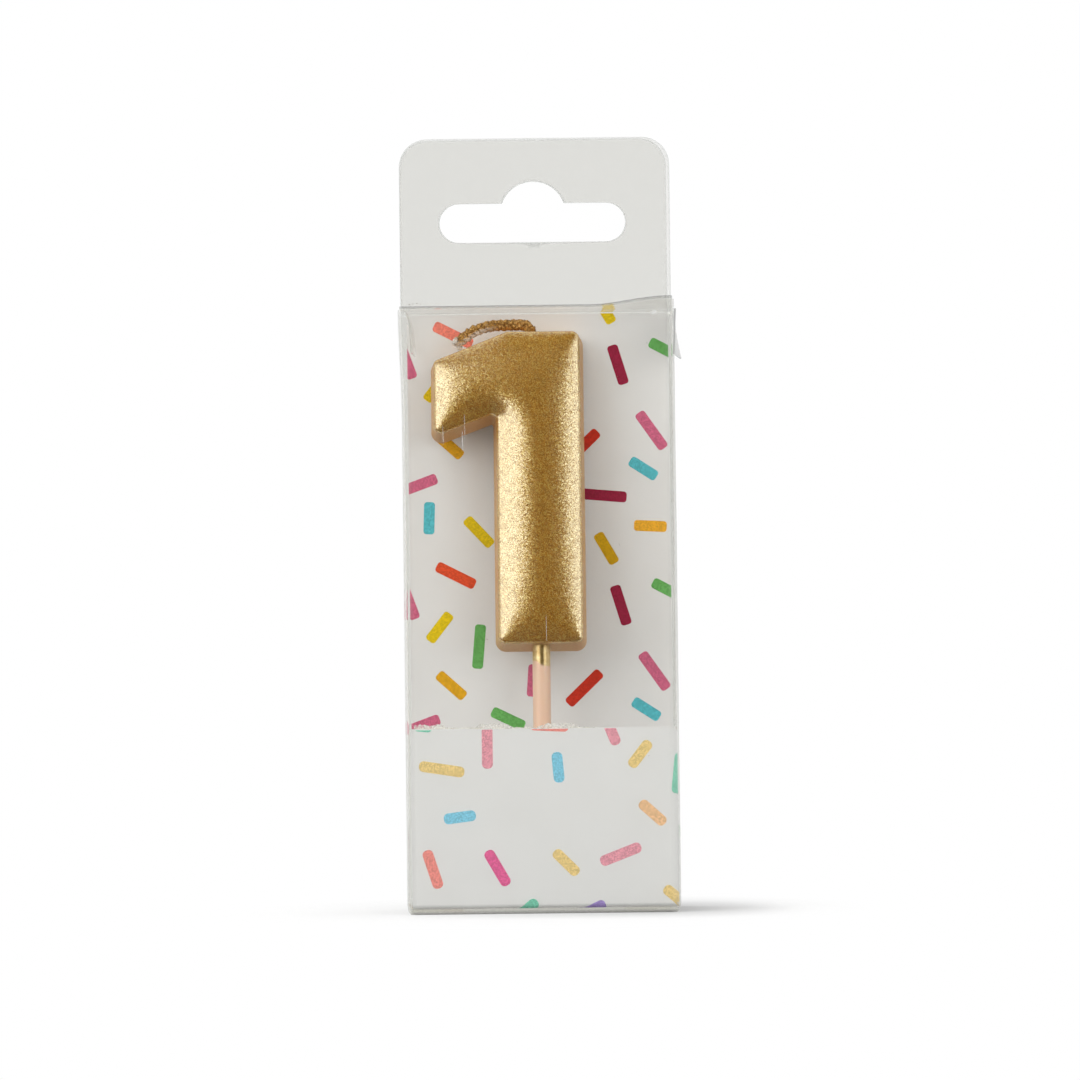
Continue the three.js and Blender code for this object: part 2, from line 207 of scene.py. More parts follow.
def areaLamp(name, place, target, width, height, radiance, colour="#FFFFFF"):
    # An area lamp's power is its radiance times its area times pi
    data = bpy.data.lights.new(name, "AREA")
    data.shape = "RECTANGLE"
    data.size, data.size_y = width * mm, height * mm
    data.energy = radiance * width * height * mm * mm * math.pi
    data.color = linear(colour)[:3]
    lamp = bpy.data.objects.new(name, data)
    scene.collection.objects.link(lamp)
    lamp.location = Vector(place) * mm
    lamp.rotation_mode = "QUATERNION"
    lamp.rotation_quaternion = (Vector(target) - Vector(place)).to_track_quat("-Z", "Y")
    return lamp


studio = {"ambient": 0.97, "key": 2.9, "fill": 2.5, "top": 2.5, "floorTone": 0.27, "floorLift": 0.64, "bounceTone": 0.32}
for name, place, width, height, radiance in (("key_lamp", (-430, -470, 300), 420, 420, studio["key"]),
                                             ("fill_lamp", (330, -560, 150), 320, 320, studio["fill"]),
                                             ("top_lamp", (-160, -200, 560), 420, 300, studio["top"])):
    areaLamp(name, place, (0, 0, 60), width, height, radiance).visible_glossy = False


def makeWorld():
    world = bpy.data.worlds.new("studio")
    world.use_nodes = True
    tree = world.node_tree
    tree.nodes.clear()
    path = addNode(tree, "ShaderNodeLightPath")
    seen = addNode(tree, "ShaderNodeMath", {"operation": "MAXIMUM"},
                   {0: path.outputs["Is Camera Ray"], 1: path.outputs["Is Glossy Ray"]})
    seen = addNode(tree, "ShaderNodeMath", {"operation": "MAXIMUM"},
                   {0: seen.outputs[0], 1: path.outputs["Is Transmission Ray"]})
    plain = addNode(tree, "ShaderNodeBackground", {"Color": (1, 1, 1, 1), "Strength": studio["ambient"]})
    white = addNode(tree, "ShaderNodeBackground", {"Color": (1, 1, 1, 1), "Strength": 1.0})
    mix = addNode(tree, "ShaderNodeMixShader",
                  links={0: seen.outputs[0], 1: plain.outputs[0], 2: white.outputs[0]})
    addNode(tree, "ShaderNodeOutputWorld", links={"Surface": mix.outputs[0]})
    scene.world = world


def makeFloor():
    # White sweep: diffuse near the object, so that it takes the shadow, with enough lift to reach white. The lift
    # carries painted shade: contact shade from ambient occlusion beside the box, weaker to the left, and a painted
    # shadow pool to its right.
    material, tree = newMaterial("white_sweep_paper")
    place = objectSpace(tree)
    reach = addNode(tree, "ShaderNodeVectorMath", {"operation": "LENGTH"}, {0: place})
    far = addNode(tree, "ShaderNodeMapRange", {"From Min": 0.034, "From Max": 0.060, "interpolation_type": "SMOOTHSTEP"},
                  {"Value": reach.outputs["Value"]})
    tone = studio["floorTone"]
    paper = addNode(tree, "ShaderNodeBsdfDiffuse", {"Color": (tone, tone, tone, 1)})
    # Painted contact shade: ambient occlusion by the box darkens the lift beside it, down to 0.52, less towards the
    # left
    close = addNode(tree, "ShaderNodeAmbientOcclusion", {"Distance": 0.022, "samples": 12})
    squared = addNode(tree, "ShaderNodeMath", {"operation": "POWER", 1: 1.4}, {0: close.outputs["AO"]})
    squared = addNode(tree, "ShaderNodeMath", {"operation": "MAXIMUM", 1: 0.52}, {0: squared.outputs[0]})
    # Painted shadow: a soft oval pool darkens the lift to the right of the box
    shade = addNode(tree, "ShaderNodeMapping", {"Location": (-1.35, -0.05, 0), "Scale": (48, 24, 1)}, {"Vector": place})
    spread = addNode(tree, "ShaderNodeVectorMath", {"operation": "LENGTH"}, {0: shade.outputs[0]})
    paintedShadowPool = addNode(tree, "ShaderNodeMapRange", {"From Min": 0.1, "From Max": 1.0, "To Min": 0.84, "To Max": 1.0,
                                                "interpolation_type": "SMOOTHERSTEP"}, {"Value": spread.outputs["Value"]})
    across = addNode(tree, "ShaderNodeSeparateXYZ", links={0: place})
    side = addNode(tree, "ShaderNodeMapRange", {"From Min": -0.026, "From Max": 0.022, "To Min": 0.2, "To Max": 1.0},
                   {"Value": across.outputs["X"]})
    contact = addNode(tree, "ShaderNodeMix", {"data_type": "FLOAT", 2: 1.0}, {0: side.outputs[0], 3: squared.outputs[0]})
    shaded = addNode(tree, "ShaderNodeMath", {"operation": "MULTIPLY"}, {0: contact.outputs[0], 1: paintedShadowPool.outputs[0]})
    strength = addNode(tree, "ShaderNodeMath", {"operation": "MULTIPLY", 1: studio["floorLift"]},
                       {0: shaded.outputs[0]})
    lift = addNode(tree, "ShaderNodeEmission", {"Color": (1, 1, 1, 1)}, {"Strength": strength.outputs[0]})
    path = addNode(tree, "ShaderNodeLightPath")
    seen = addNode(tree, "ShaderNodeMath", {"operation": "MAXIMUM"},
                   {0: path.outputs["Is Camera Ray"], 1: path.outputs["Is Glossy Ray"]})
    seen = addNode(tree, "ShaderNodeMath", {"operation": "MAXIMUM"},
                   {0: seen.outputs[0], 1: path.outputs["Is Transmission Ray"]})
    lifted = addNode(tree, "ShaderNodeAddShader", links={0: paper.outputs[0], 1: lift.outputs[0]})
    white = addNode(tree, "ShaderNodeEmission", {"Color": (1, 1, 1, 1), "Strength": 1.0})
    near = addNode(tree, "ShaderNodeMixShader",
                   links={0: far.outputs["Result"], 1: lifted.outputs[0], 2: white.outputs[0]})
    tone = studio["bounceTone"]
    bounce = addNode(tree, "ShaderNodeBsdfDiffuse", {"Color": (tone, tone, tone, 1)})
    both = addNode(tree, "ShaderNodeMixShader", links={0: seen.outputs[0], 1: bounce.outputs[0], 2: near.outputs[0]})
    finishMaterial(tree, both.outputs[0])
    mesh = bpy.data.meshes.new("floor")
    half = 6.0
    mesh.from_pydata([(-half, -half, 0), (half, -half, 0), (half, half, 0), (-half, half, 0)], [], [(0, 1, 2, 3)])
    mesh.materials.append(material)
    floor = bpy.data.objects.new("floor", mesh)
    scene.collection.objects.link(floor)


def studioCard(name, corners, level):
    # A flag or a bright card that only reflections see, so that metal and film have something to show
    material, tree = newMaterial(name + "_card")
    colour = (*np.broadcast_to(level, 3).tolist(), 1)
    shade = addNode(tree, "ShaderNodeEmission", {"Color": colour, "Strength": 1.0})
    finishMaterial(tree, shade.outputs[0])
    mesh = bpy.data.meshes.new(name)
    mesh.from_pydata([tuple(v * mm for v in c) for c in corners], [], [(0, 1, 2, 3)])
    mesh.materials.append(material)
    flag = bpy.data.objects.new(name, mesh)
    scene.collection.objects.link(flag)
    flag.visible_camera = False
    flag.visible_diffuse = False
    flag.visible_shadow = False
    flag.visible_transmission = False


makeWorld()
makeFloor()
def uprightCard(name, fromTurn, toTurn, distance, low, high, level):
    # Stands in front, between two directions in degrees, counted from straight ahead towards the right
    ends = [(distance * math.sin(math.radians(t)), -distance * math.cos(math.radians(t))) for t in (fromTurn, toTurn)]
    (ax, ay), (bx, by) = ends
    studioCard(name, [(ax, ay, low), (bx, by, low), (bx, by, high), (ax, ay, high)], level)


uprightCard("left_card", -66, -23, 520, -20, 430, 2.6)
uprightCard("left_card_edge", -23, -15, 520, -20, 430, (1.25, 1.08, 0.55))
uprightCard("centre_flag", -15, 30, 520, -80, 330, (0.05, 0.033, 0.005))
uprightCard("right_card_edge", 30, 38, 520, -20, 400, (0.85, 0.72, 0.36))
uprightCard("right_card", 38, 62, 520, -20, 400, 2.4)
studioCard("low_flag", [(-420, -620, 0.4), (420, -620, 0.4), (420, -12, 0.4), (-420, -12, 0.4)], 0.04)
studioCard("high_flag", [(-150, -480, 330), (300, -480, 330), (300, -200, 560), (-150, -200, 560)], (0.22, 0.15, 0.04))
print("stage set")


# Materials
def clearFilm(name, tint, glossColour, veil=0.0, glow=0.0):
    # Calendered clear PET film, 0.3 mm: sharp gloss that grows at grazing angles, and a faint grey cast
    material, tree = newMaterial(name)
    place = objectSpace(tree)
    waves = addNode(tree, "ShaderNodeTexNoise", {"Scale": 1 / 0.014, "Detail": 1.5}, {"Vector": place})
    grain = addNode(tree, "ShaderNodeTexNoise", {"Scale": 1 / 0.0016, "Detail": 2.0}, {"Vector": place})
    height = addNode(tree, "ShaderNodeMath", {"operation": "MULTIPLY_ADD", 1: 0.005},
                     {0: grain.outputs["Fac"], 2: waves.outputs["Fac"]})
    bump = addNode(tree, "ShaderNodeBump", {"Strength": 1.0, "Distance": 0.00012}, {"Height": height.outputs[0]})
    facing = addNode(tree, "ShaderNodeLayerWeight", {"Blend": 0.5}, {"Normal": bump.outputs[0]})
    steep = addNode(tree, "ShaderNodeMath", {"operation": "POWER", 1: 5.0}, {0: facing.outputs["Facing"]})
    share = addNode(tree, "ShaderNodeMath", {"operation": "MULTIPLY_ADD", 1: 0.78, 2: 0.045}, {0: steep.outputs[0]})
    # Painted shade: where the crease attribute is set, on folds, upright corners, the walls' foot and the right flap,
    # the see-through tint darkens to grey
    crease = addNode(tree, "ShaderNodeAttribute", {"attribute_name": "crease"})
    shade = addNode(tree, "ShaderNodeMix", {"data_type": "RGBA", 6: linear(tint), 7: linear("#77777A")},
                    {0: crease.outputs["Fac"]})
    clear = addNode(tree, "ShaderNodeBsdfTransparent", links={"Color": shade.outputs[2]})
    gloss = addNode(tree, "ShaderNodeBsdfGlossy", {"Color": linear(glossColour), "Roughness": 0.05},
                    {"Normal": bump.outputs[0]})
    pane = addNode(tree, "ShaderNodeMixShader", links={0: share.outputs[0], 1: clear.outputs[0], 2: gloss.outputs[0]})
    # Painted highlight: the whitening attribute read here turns the film milky along cut edges, folds and over the dust
    # flaps, for the light they catch; veil adds a real milky scuff
    paintedSheen = addNode(tree, "ShaderNodeAttribute", {"attribute_name": "paintedSheen"})
    white = addNode(tree, "ShaderNodeBsdfDiffuse", {"Color": linear("#E9EBEA")})
    through = addNode(tree, "ShaderNodeBsdfTranslucent", {"Color": linear("#E9EBEA")})
    scatter = addNode(tree, "ShaderNodeMixShader", {0: 0.5}, {1: white.outputs[0], 2: through.outputs[0]})
    milky = addNode(tree, "ShaderNodeMath", {"operation": "MAXIMUM", 1: veil}, {0: paintedSheen.outputs["Fac"]})
    whole = addNode(tree, "ShaderNodeMixShader",
                    links={0: milky.outputs[0], 1: pane.outputs[0], 2: scatter.outputs[0]})
    if glow:  # painted light: the sheet glows faintly all over, though it is no lamp
        paintedGlow = addNode(tree, "ShaderNodeEmission", {"Color": linear("#F4F3EE"), "Strength": glow})
        whole = addNode(tree, "ShaderNodeAddShader", links={0: whole.outputs[0], 1: paintedGlow.outputs[0]})
    finishMaterial(tree, whole.outputs[0])
    return material


def driedGlue():
    # Dried hot-melt line: milky, part see-through, with a lumpy satin skin
    material, tree = newMaterial("dried_hot_melt_glue")
    lumps = addNode(tree, "ShaderNodeTexNoise", {"Scale": 1 / 0.0025, "Detail": 3.0}, {"Vector": objectSpace(tree)})
    bump = addNode(tree, "ShaderNodeBump", {"Strength": 0.6, "Distance": 0.0002}, {"Height": lumps.outputs["Fac"]})
    body = addNode(tree, "ShaderNodeBsdfPrincipled",
                   {"Base Color": linear("#F1F0E8"), "Roughness": 0.35}, {"Normal": bump.outputs[0]})
    clear = addNode(tree, "ShaderNodeBsdfTransparent", {"Color": linear("#FBFAF5")})
    share = addNode(tree, "ShaderNodeMapRange", {"From Min": 0.35, "From Max": 0.7, "To Min": 0.1, "To Max": 0.45},
                    {"Value": lumps.outputs["Fac"]})
    mix = addNode(tree, "ShaderNodeMixShader", links={0: share.outputs[0], 1: clear.outputs[0], 2: body.outputs[0]})
    finishMaterial(tree, mix.outputs[0])
    return material


def coatedBoard(name, coatColour, shadeColour, rough):
    # Clay-coated white board, 0.35 mm: even and slightly satin, with a faint cloudy formation
    material, tree = newMaterial(name)
    place = objectSpace(tree)
    cloud = addNode(tree, "ShaderNodeTexNoise", {"Scale": 1 / 0.009, "Detail": 3.0}, {"Vector": place})
    fibre = addNode(tree, "ShaderNodeTexNoise", {"Scale": 1 / 0.0004, "Detail": 2.0}, {"Vector": place})
    tone = addNode(tree, "ShaderNodeMix", {"data_type": "RGBA", 6: linear(coatColour), 7: linear(shadeColour)},
                   {0: cloud.outputs["Fac"]})
    bump = addNode(tree, "ShaderNodeBump", {"Strength": 0.25, "Distance": 0.00003}, {"Height": fibre.outputs["Fac"]})
    board = addNode(tree, "ShaderNodeBsdfPrincipled", {"Roughness": rough, "Specular IOR Level": 0.25},
                    {"Base Color": tone.outputs[2], "Normal": bump.outputs[0]})
    finishMaterial(tree, board.outputs[0])
    return material


def processInk():
    # Offset ink on board: the colour is each sprinkle's own, with a fine grain where the dots of ink break up
    material, tree = newMaterial("offset_printed_ink")
    place = objectSpace(tree)
    colour = addNode(tree, "ShaderNodeAttribute", {"attribute_name": "ink"})
    dots = addNode(tree, "ShaderNodeTexNoise", {"Scale": 1 / 0.0002, "Detail": 0.0}, {"Vector": place})
    depth = addNode(tree, "ShaderNodeMapRange", {"From Min": 0.35, "From Max": 0.65, "To Min": 0.92, "To Max": 1.30},
                    {"Value": dots.outputs["Fac"]})
    pale = addNode(tree, "ShaderNodeHueSaturation", {"Saturation": 1.0},
                   {"Color": colour.outputs["Color"], "Value": depth.outputs[0]})
    ink = addNode(tree, "ShaderNodeBsdfPrincipled", {"Roughness": 0.6, "Specular IOR Level": 0.2}, {"Base Color": pale.outputs[0]})
    finishMaterial(tree, ink.outputs[0])
    return material


def glitterGold():
    # Wax sprayed with fine metal flake: each flake tilts its own way and has its own tone. Pale flakes lie in the
    # top coat and mirror the lamps more sharply than the deep gold below. The walls show the bare tan wax.
    material, tree = newMaterial("gold_flake_lacquer_on_wax")
    place = objectSpace(tree)
    flake = addNode(tree, "ShaderNodeTexVoronoi", {"Scale": 1 / 0.00015, "Randomness": 1.0}, {"Vector": place})
    patch = addNode(tree, "ShaderNodeTexNoise", {"Scale": 1 / 0.0011, "Detail": 3.0}, {"Vector": place})
    parts = addNode(tree, "ShaderNodeSeparateColor", links={"Color": flake.outputs["Color"]})
    centred = addNode(tree, "ShaderNodeVectorMath", {"operation": "SUBTRACT", 1: (0.5, 0.5, 0.5)},
                      {0: flake.outputs["Color"]})
    tilt = addNode(tree, "ShaderNodeVectorMath", {"operation": "SCALE", "Scale": 0.14}, {0: centred.outputs[0]})
    normal = addNode(tree, "ShaderNodeNewGeometry")
    tilted = addNode(tree, "ShaderNodeVectorMath", {"operation": "ADD"},
                     {0: normal.outputs["Normal"], 1: tilt.outputs[0]})
    facet = addNode(tree, "ShaderNodeVectorMath", {"operation": "NORMALIZE"}, {0: tilted.outputs[0]})
    tone = addNode(tree, "ShaderNodeValToRGB", links={"Fac": parts.outputs["Green"]})
    ramp = tone.color_ramp
    ramp.elements[0].color = linear("#90580A")
    ramp.elements[1].color = linear("#F0C656")
    ramp.elements.new(0.5).color = linear("#C48416")
    deep = addNode(tree, "ShaderNodeBsdfPrincipled", {"Metallic": 0.45, "Roughness": 0.7, "Specular IOR Level": 0.2},
                   {"Base Color": tone.outputs["Color"], "Normal": facet.outputs[0]})
    pale = addNode(tree, "ShaderNodeBsdfGlossy", {"Color": linear("#FFF9D8"), "Roughness": 0.21},
                   {"Normal": facet.outputs[0]})
    cloud = addNode(tree, "ShaderNodeMapRange", {"From Min": 0.3, "From Max": 0.7, "To Min": 0.34, "To Max": 0.44},
                    {"Value": patch.outputs["Fac"]})
    bright = addNode(tree, "ShaderNodeMath", {"operation": "MULTIPLY_ADD", 1: 0.8, 2: 0.6}, {0: parts.outputs["Green"]})
    share = addNode(tree, "ShaderNodeMath", {"operation": "MULTIPLY"}, {0: cloud.outputs[0], 1: bright.outputs[0]})
    metal = addNode(tree, "ShaderNodeMixShader", links={0: share.outputs[0], 1: deep.outputs[0], 2: pale.outputs[0]})
    haze = addNode(tree, "ShaderNodeTexNoise", {"Scale": 1 / 0.0006, "Detail": 2.0}, {"Vector": place})
    wax = addNode(tree, "ShaderNodeMix", {"data_type": "RGBA", 6: linear("#DCAF7A"), 7: linear("#C9995F")},
                  {0: haze.outputs["Fac"]})
    body = addNode(tree, "ShaderNodeBsdfPrincipled",
                   {"Roughness": 0.5, "Subsurface Weight": 0.25, "Subsurface Scale": 0.001,
                    "Subsurface Radius": (1.0, 0.6, 0.4)}, {"Base Color": wax.outputs[2]})
    bare = addNode(tree, "ShaderNodeAttribute", {"attribute_name": "bare"})
    speckle = addNode(tree, "ShaderNodeMath", {"operation": "MULTIPLY_ADD", 1: 0.5, 2: -0.25},
                      {0: haze.outputs["Fac"]})
    edge = addNode(tree, "ShaderNodeMath", {"operation": "ADD"}, {0: bare.outputs["Fac"], 1: speckle.outputs[0]})
    cover = addNode(tree, "ShaderNodeMapRange", {"From Min": 0.35, "From Max": 0.65}, {"Value": edge.outputs[0]})
    whole = addNode(tree, "ShaderNodeMixShader",
                    links={0: cover.outputs[0], 1: metal.outputs[0], 2: body.outputs[0]})
    finishMaterial(tree, whole.outputs[0])
    return material


def cottonBraid():
    # Cotton wick, sprayed gold on its upper side and left white where the spray didn't reach
    material, tree = newMaterial("gold_sprayed_cotton_braid")
    place = objectSpace(tree)
    grit = addNode(tree, "ShaderNodeTexVoronoi", {"Scale": 1 / 0.00027}, {"Vector": place})
    tone = addNode(tree, "ShaderNodeMix", {"data_type": "RGBA", 6: linear("#FFCB78"), 7: linear("#6E3C0A")},
                   {0: grit.outputs["Distance"]})
    bump = addNode(tree, "ShaderNodeBump", {"Strength": 0.8, "Distance": 0.00008}, {"Height": grit.outputs["Distance"]})
    gold = addNode(tree, "ShaderNodeBsdfPrincipled", {"Metallic": 0.6, "Roughness": 0.34},
                   {"Base Color": tone.outputs[2], "Normal": bump.outputs[0]})
    cotton = addNode(tree, "ShaderNodeBsdfPrincipled",
                     {"Base Color": linear("#EDE7DF"), "Roughness": 0.9, "Sheen Weight": 0.3},
                     {"Normal": bump.outputs[0]})
    bare = addNode(tree, "ShaderNodeAttribute", {"attribute_name": "bare"})
    whole = addNode(tree, "ShaderNodeMixShader", links={0: bare.outputs["Fac"], 1: gold.outputs[0], 2: cotton.outputs[0]})
    finishMaterial(tree, whole.outputs[0])
    return material


def pinkPick():
    # Injection-moulded polystyrene, pale peach: soft satin gloss, with gold overspray at the neck
    material, tree = newMaterial("peach_moulded_polystyrene")
    place = objectSpace(tree)
    parts = addNode(tree, "ShaderNodeSeparateXYZ", links={0: place})
    rough = addNode(tree, "ShaderNodeTexNoise", {"Scale": 1 / 0.0009, "Detail": 3.0}, {"Vector": place})
    slant = addNode(tree, "ShaderNodeMath", {"operation": "MULTIPLY_ADD", 1: 0.35},
                    {0: parts.outputs["X"], 2: parts.outputs["Z"]})
    ragged = addNode(tree, "ShaderNodeMath", {"operation": "MULTIPLY_ADD", 1: 0.0016},
                     {0: rough.outputs["Fac"], 2: slant.outputs[0]})
    cover = addNode(tree, "ShaderNodeMapRange", {"From Min": 0.0430, "From Max": 0.0434}, {"Value": ragged.outputs[0]})
    mottle = addNode(tree, "ShaderNodeMix", {"data_type": "RGBA", 6: linear("#A9782E"), 7: linear("#FFF0BE")},
                     {0: rough.outputs["Fac"]})
    gold = addNode(tree, "ShaderNodeBsdfPrincipled", {"Metallic": 1.0, "Roughness": 0.36},
                   {"Base Color": mottle.outputs[2]})
    mould = addNode(tree, "ShaderNodeBsdfPrincipled",
                    {"Base Color": linear("#EDC9B0"), "Roughness": 0.38, "Subsurface Weight": 0.3,
                     "Subsurface Scale": 0.001, "Subsurface Radius": (1.0, 0.5, 0.3)})
    whole = addNode(tree, "ShaderNodeMixShader",
                    links={0: cover.outputs[0], 1: mould.outputs[0], 2: gold.outputs[0]})
    finishMaterial(tree, whole.outputs[0])
    return material


film = clearFilm("clear_calendered_pet_film", "#FBFBFA", "#FFFFFF")
# The box's bottom film: greyer tint and dimmer gloss as painted shade, a scuffed milky veil, and a faint painted glow
baseFilm = clearFilm("scuffed_pet_film_base_painted_shade_and_glow", "#F2F1EE", "#DCDBD6", 0.25, 0.12)
glue = driedGlue()
whiteBoard = coatedBoard("clay_coated_board", "#EDEDED", "#E7E7E7", 0.42)
cutBoard = coatedBoard("cut_board_edge", "#D8CBB4", "#C6B596", 0.85)
ink = processInk()
goldWax = glitterGold()
braid = cottonBraid()
peach = pinkPick()
print("materials made")


# Box film: sheets 0.3 mm thick
box = {"film": 0.3, "crease": 0.6, "width": 46.6, "depth": 20.6, "height": 103.6, "wallTop": 103.0,
       "glueFlap": 9.0, "glueFlapFace": 9.6, "tabTop": 134.0, "tabCorner": 4.8, "footRadius": 1.3, "paintedSheen": 0.35}
slotSize = {"width": 32.0, "band": 6.8, "hump": 3.8, "humpWidth": 10.6, "foot": 115.8, "x": -0.5}


# Painted highlight: full film whitening at a sheet's cut edge, fading out over width mm
def paintedSheenNear(distance, width=0.3):
    return box["paintedSheen"] * (1 - smoothStep(distance, 0, width))


def filmPiece(name, grid, body, paintedSheen, wrap=False, crease=0.0):
    points, faces, _, _ = sheetShell(grid, box["film"], wrap)
    crease = np.broadcast_to(crease, grid.shape[:2])
    return meshPiece(name, points, faces, [film], body,
                     attributes={"paintedSheen": np.tile(paintedSheen.ravel(), 2), "crease": np.tile(crease.ravel(), 2)})


def slotOutline():
    # Long slot with half-round ends and a hump, an arc through three points, in the middle of its upper edge
    end, x, z = slotSize["band"] / 2, slotSize["x"], slotSize["foot"]
    reach = slotSize["width"] / 2 - end
    radius = (slotSize["humpWidth"] ** 2 / 4 + slotSize["hump"] ** 2) / (2 * slotSize["hump"])
    middle = z + slotSize["band"] + slotSize["hump"] - radius
    start = math.asin((z + slotSize["band"] - middle) / radius)
    arcs = [(x + reach, z + end, end, -math.pi / 2, math.pi / 2), (x, middle, radius, start, math.pi - start),
            (x - reach, z + end, end, math.pi / 2, math.pi * 1.5)]
    points = []
    for cx, cz, r, a, b in arcs:
        angles = np.linspace(a, b, 24)
        points.append(np.stack([cx + r * np.cos(angles), cz + r * np.sin(angles)], 1))
    line = np.concatenate(points)
    return line


def radiusByAngle(outline, centre, angles):
    # Distance from the centre to a closed outline in each direction, by joining finely cut points
    loop = np.vstack([outline, outline[:1]])
    fine = np.concatenate([a + (b - a) * np.linspace(0, 1, 60, endpoint=False)[:, None]
                           for a, b in zip(loop[:-1], loop[1:])])
    delta = fine - centre
    turn = np.arctan2(delta[:, 1], delta[:, 0])
    order = np.argsort(turn)
    return np.interp(angles, turn[order], np.linalg.norm(delta, axis=1)[order], period=2 * math.pi)


def tabSheet(left, right, foot, top, y, bow, footRadius):
    # Rings run from the slot to the sheet's outline; y bows with slow waves that fade out at the foot
    centre = np.array([slotSize["x"], slotSize["foot"] + slotSize["band"] / 2])
    outline = roundedLine([(left, foot, footRadius), (right, foot, footRadius), (right, top, box["tabCorner"]),
                           (left, top, box["tabCorner"])], closed=True, angleStep=5, lineStep=2)
    corners = np.array([(left, foot), (right, foot)]) - centre
    angles = np.sort(np.concatenate([np.linspace(-math.pi, math.pi, 380, endpoint=False),
                                     np.arctan2(corners[:, 1], corners[:, 0])]))
    inner = radiusByAngle(slotOutline(), centre, angles)
    outer = radiusByAngle(outline, centre, angles)
    share = np.concatenate([[0, 0.01, 0.03], np.linspace(0.06, 0.94, 40), [0.97, 0.99, 1.0]])
    radii = inner[:, None] + (outer - inner)[:, None] * share[None]
    x = centre[0] + radii * np.cos(angles)[:, None]
    z = centre[1] + radii * np.sin(angles)[:, None]
    fade = smoothStep(z, 100, 116)
    wave = bow * fade * (np.sin(x / 9.5 + 0.6) * 0.5 + np.sin((z - foot) / 11 + x / 23) * 0.5)
    # Painted highlight: the film whitens along the slot's edge and the sheet's outline
    paintedSheen = np.maximum(paintedSheenNear(radii - inner[:, None]), paintedSheenNear(outer[:, None] - radii))
    return np.stack([x - 0.5 * smoothStep(z, 84, 104) * np.clip(-x / 23.3, 0, 1), y + wave, z], 2), paintedSheen


lid = {"creaseRadius": 0.40, "spring": 1.36, "springFrom": 9.0, "springTo": 22.0, "springRear": 4.0,
       "springDepth": 14.0, "halfWidth": 23.0}


def springRise(x, y):
    # The lid's right end springs up: the rise grows to the right, and straight from springRear to the front
    forward = np.clip((lid["springRear"] - y) / lid["springDepth"], 0, 1)
    return lid["spring"] * smoothStep(x, lid["springFrom"], lid["springTo"]) * forward


def topBulge(x, z):
    # The box's upper left side stands out a little, pushed by the flap folded behind it
    return 0.5 * smoothStep(z, 84, 104) * np.clip(-x / 23.3, 0, 1)


def sleeveWalls():
    # Walls: the strip's line, seen from above, carried up the height; long waves bow each panel by a little
    middle = box["film"] / 2
    bend = box["crease"] - middle
    side, face = box["width"] / 2 - middle, box["depth"] / 2 - middle
    line = roundedLine([(-box["width"] / 2 + box["glueFlap"], box["glueFlapFace"] + middle),
                        (-side, box["glueFlapFace"] + middle, bend), (-side, -face, bend), (side, -face, bend),
                        (side, face, bend), (side - bend, face)], angleStep=10, lineStep=1.2)
    top = box["wallTop"]
    heights = np.concatenate([[0, 0.15], np.linspace(0.6, top - 0.6, 90), [top - 0.15, top]])
    x, z = np.meshgrid(line[:, 0], heights, indexing="ij")
    y = np.repeat(line[:, 1:], len(heights), 1)
    onFront = smoothStep(np.abs(y + face), 0.5, 0.0)
    inward = 0.10 * onFront * (np.sin(x / 8 + 1.2) * np.sin(z / 21 + 0.5) * 0.5 + 0.5 * np.sin(x / 3.4 + z / 60))
    inward = inward * smoothStep(side - np.abs(x), 0.0, 4.0)
    onSide = smoothStep(np.abs(np.abs(x) - side), 0.4, 0.0) * smoothStep(face - np.abs(y), 0.0, 4.0)
    sideBow = 0.12 * onSide * np.sin(z / 17 + np.sign(x)) * np.sign(x)
    grid = np.stack([x - sideBow, y + np.maximum(inward, -0.05), z], 2)
    # Painted light on the film: a faint painted highlight and a grey painted shade line along the upright corners, and
    # a painted shade line along the front wall's foot
    corner = smoothStep(np.abs(np.abs(x) - side) + np.abs(np.abs(y) - face), 0.9, 0.2)
    paintedSheen = 0.12 * corner
    crease = 0.22 * smoothStep(np.abs(np.abs(x) - side) + np.abs(np.abs(y) - face), 0.4, 0.05)
    crease = np.maximum(crease, 0.45 * onFront * smoothStep(z, 0.6, 0.1))
    grid[:, :, 2] += springRise(x, y) * smoothStep(z, 84, 103)
    grid[:, :, 0] -= topBulge(x, z)
    lower = 1 - np.clip(z / box["footRadius"], 0, 1)
    pull = box["footRadius"] * (1 - np.sqrt(1 - lower ** 2)) * smoothStep(np.abs(x), side - 1.5, side - 0.3)
    grid[:, :, 0] -= np.sign(x) * pull * 0.8
    return grid, paintedSheen, crease


grid, paintedSheen, crease = sleeveWalls()
walls = filmPiece("film_sleeve_walls", grid[::-1], "box", paintedSheen[::-1], crease=crease[::-1])
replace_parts(walls, "film_sleeve")
rear = box["depth"] / 2 - box["film"] / 2
grid, paintedSheen = tabSheet(-box["width"] / 2, box["width"] / 2, 0.0, box["tabTop"], rear, 0.10, box["footRadius"])
filmPiece("film_back_and_tab", grid, "box", paintedSheen, wrap=True)
grid, paintedSheen = tabSheet(-box["width"] / 2, box["width"] / 2 - 0.6, 103.9, 133.7, 9.55, 0.06, 0)
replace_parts(filmPiece("film_front_tab_layer", grid, "tab_layer", paintedSheen, wrap=True), "front_tab_layer")


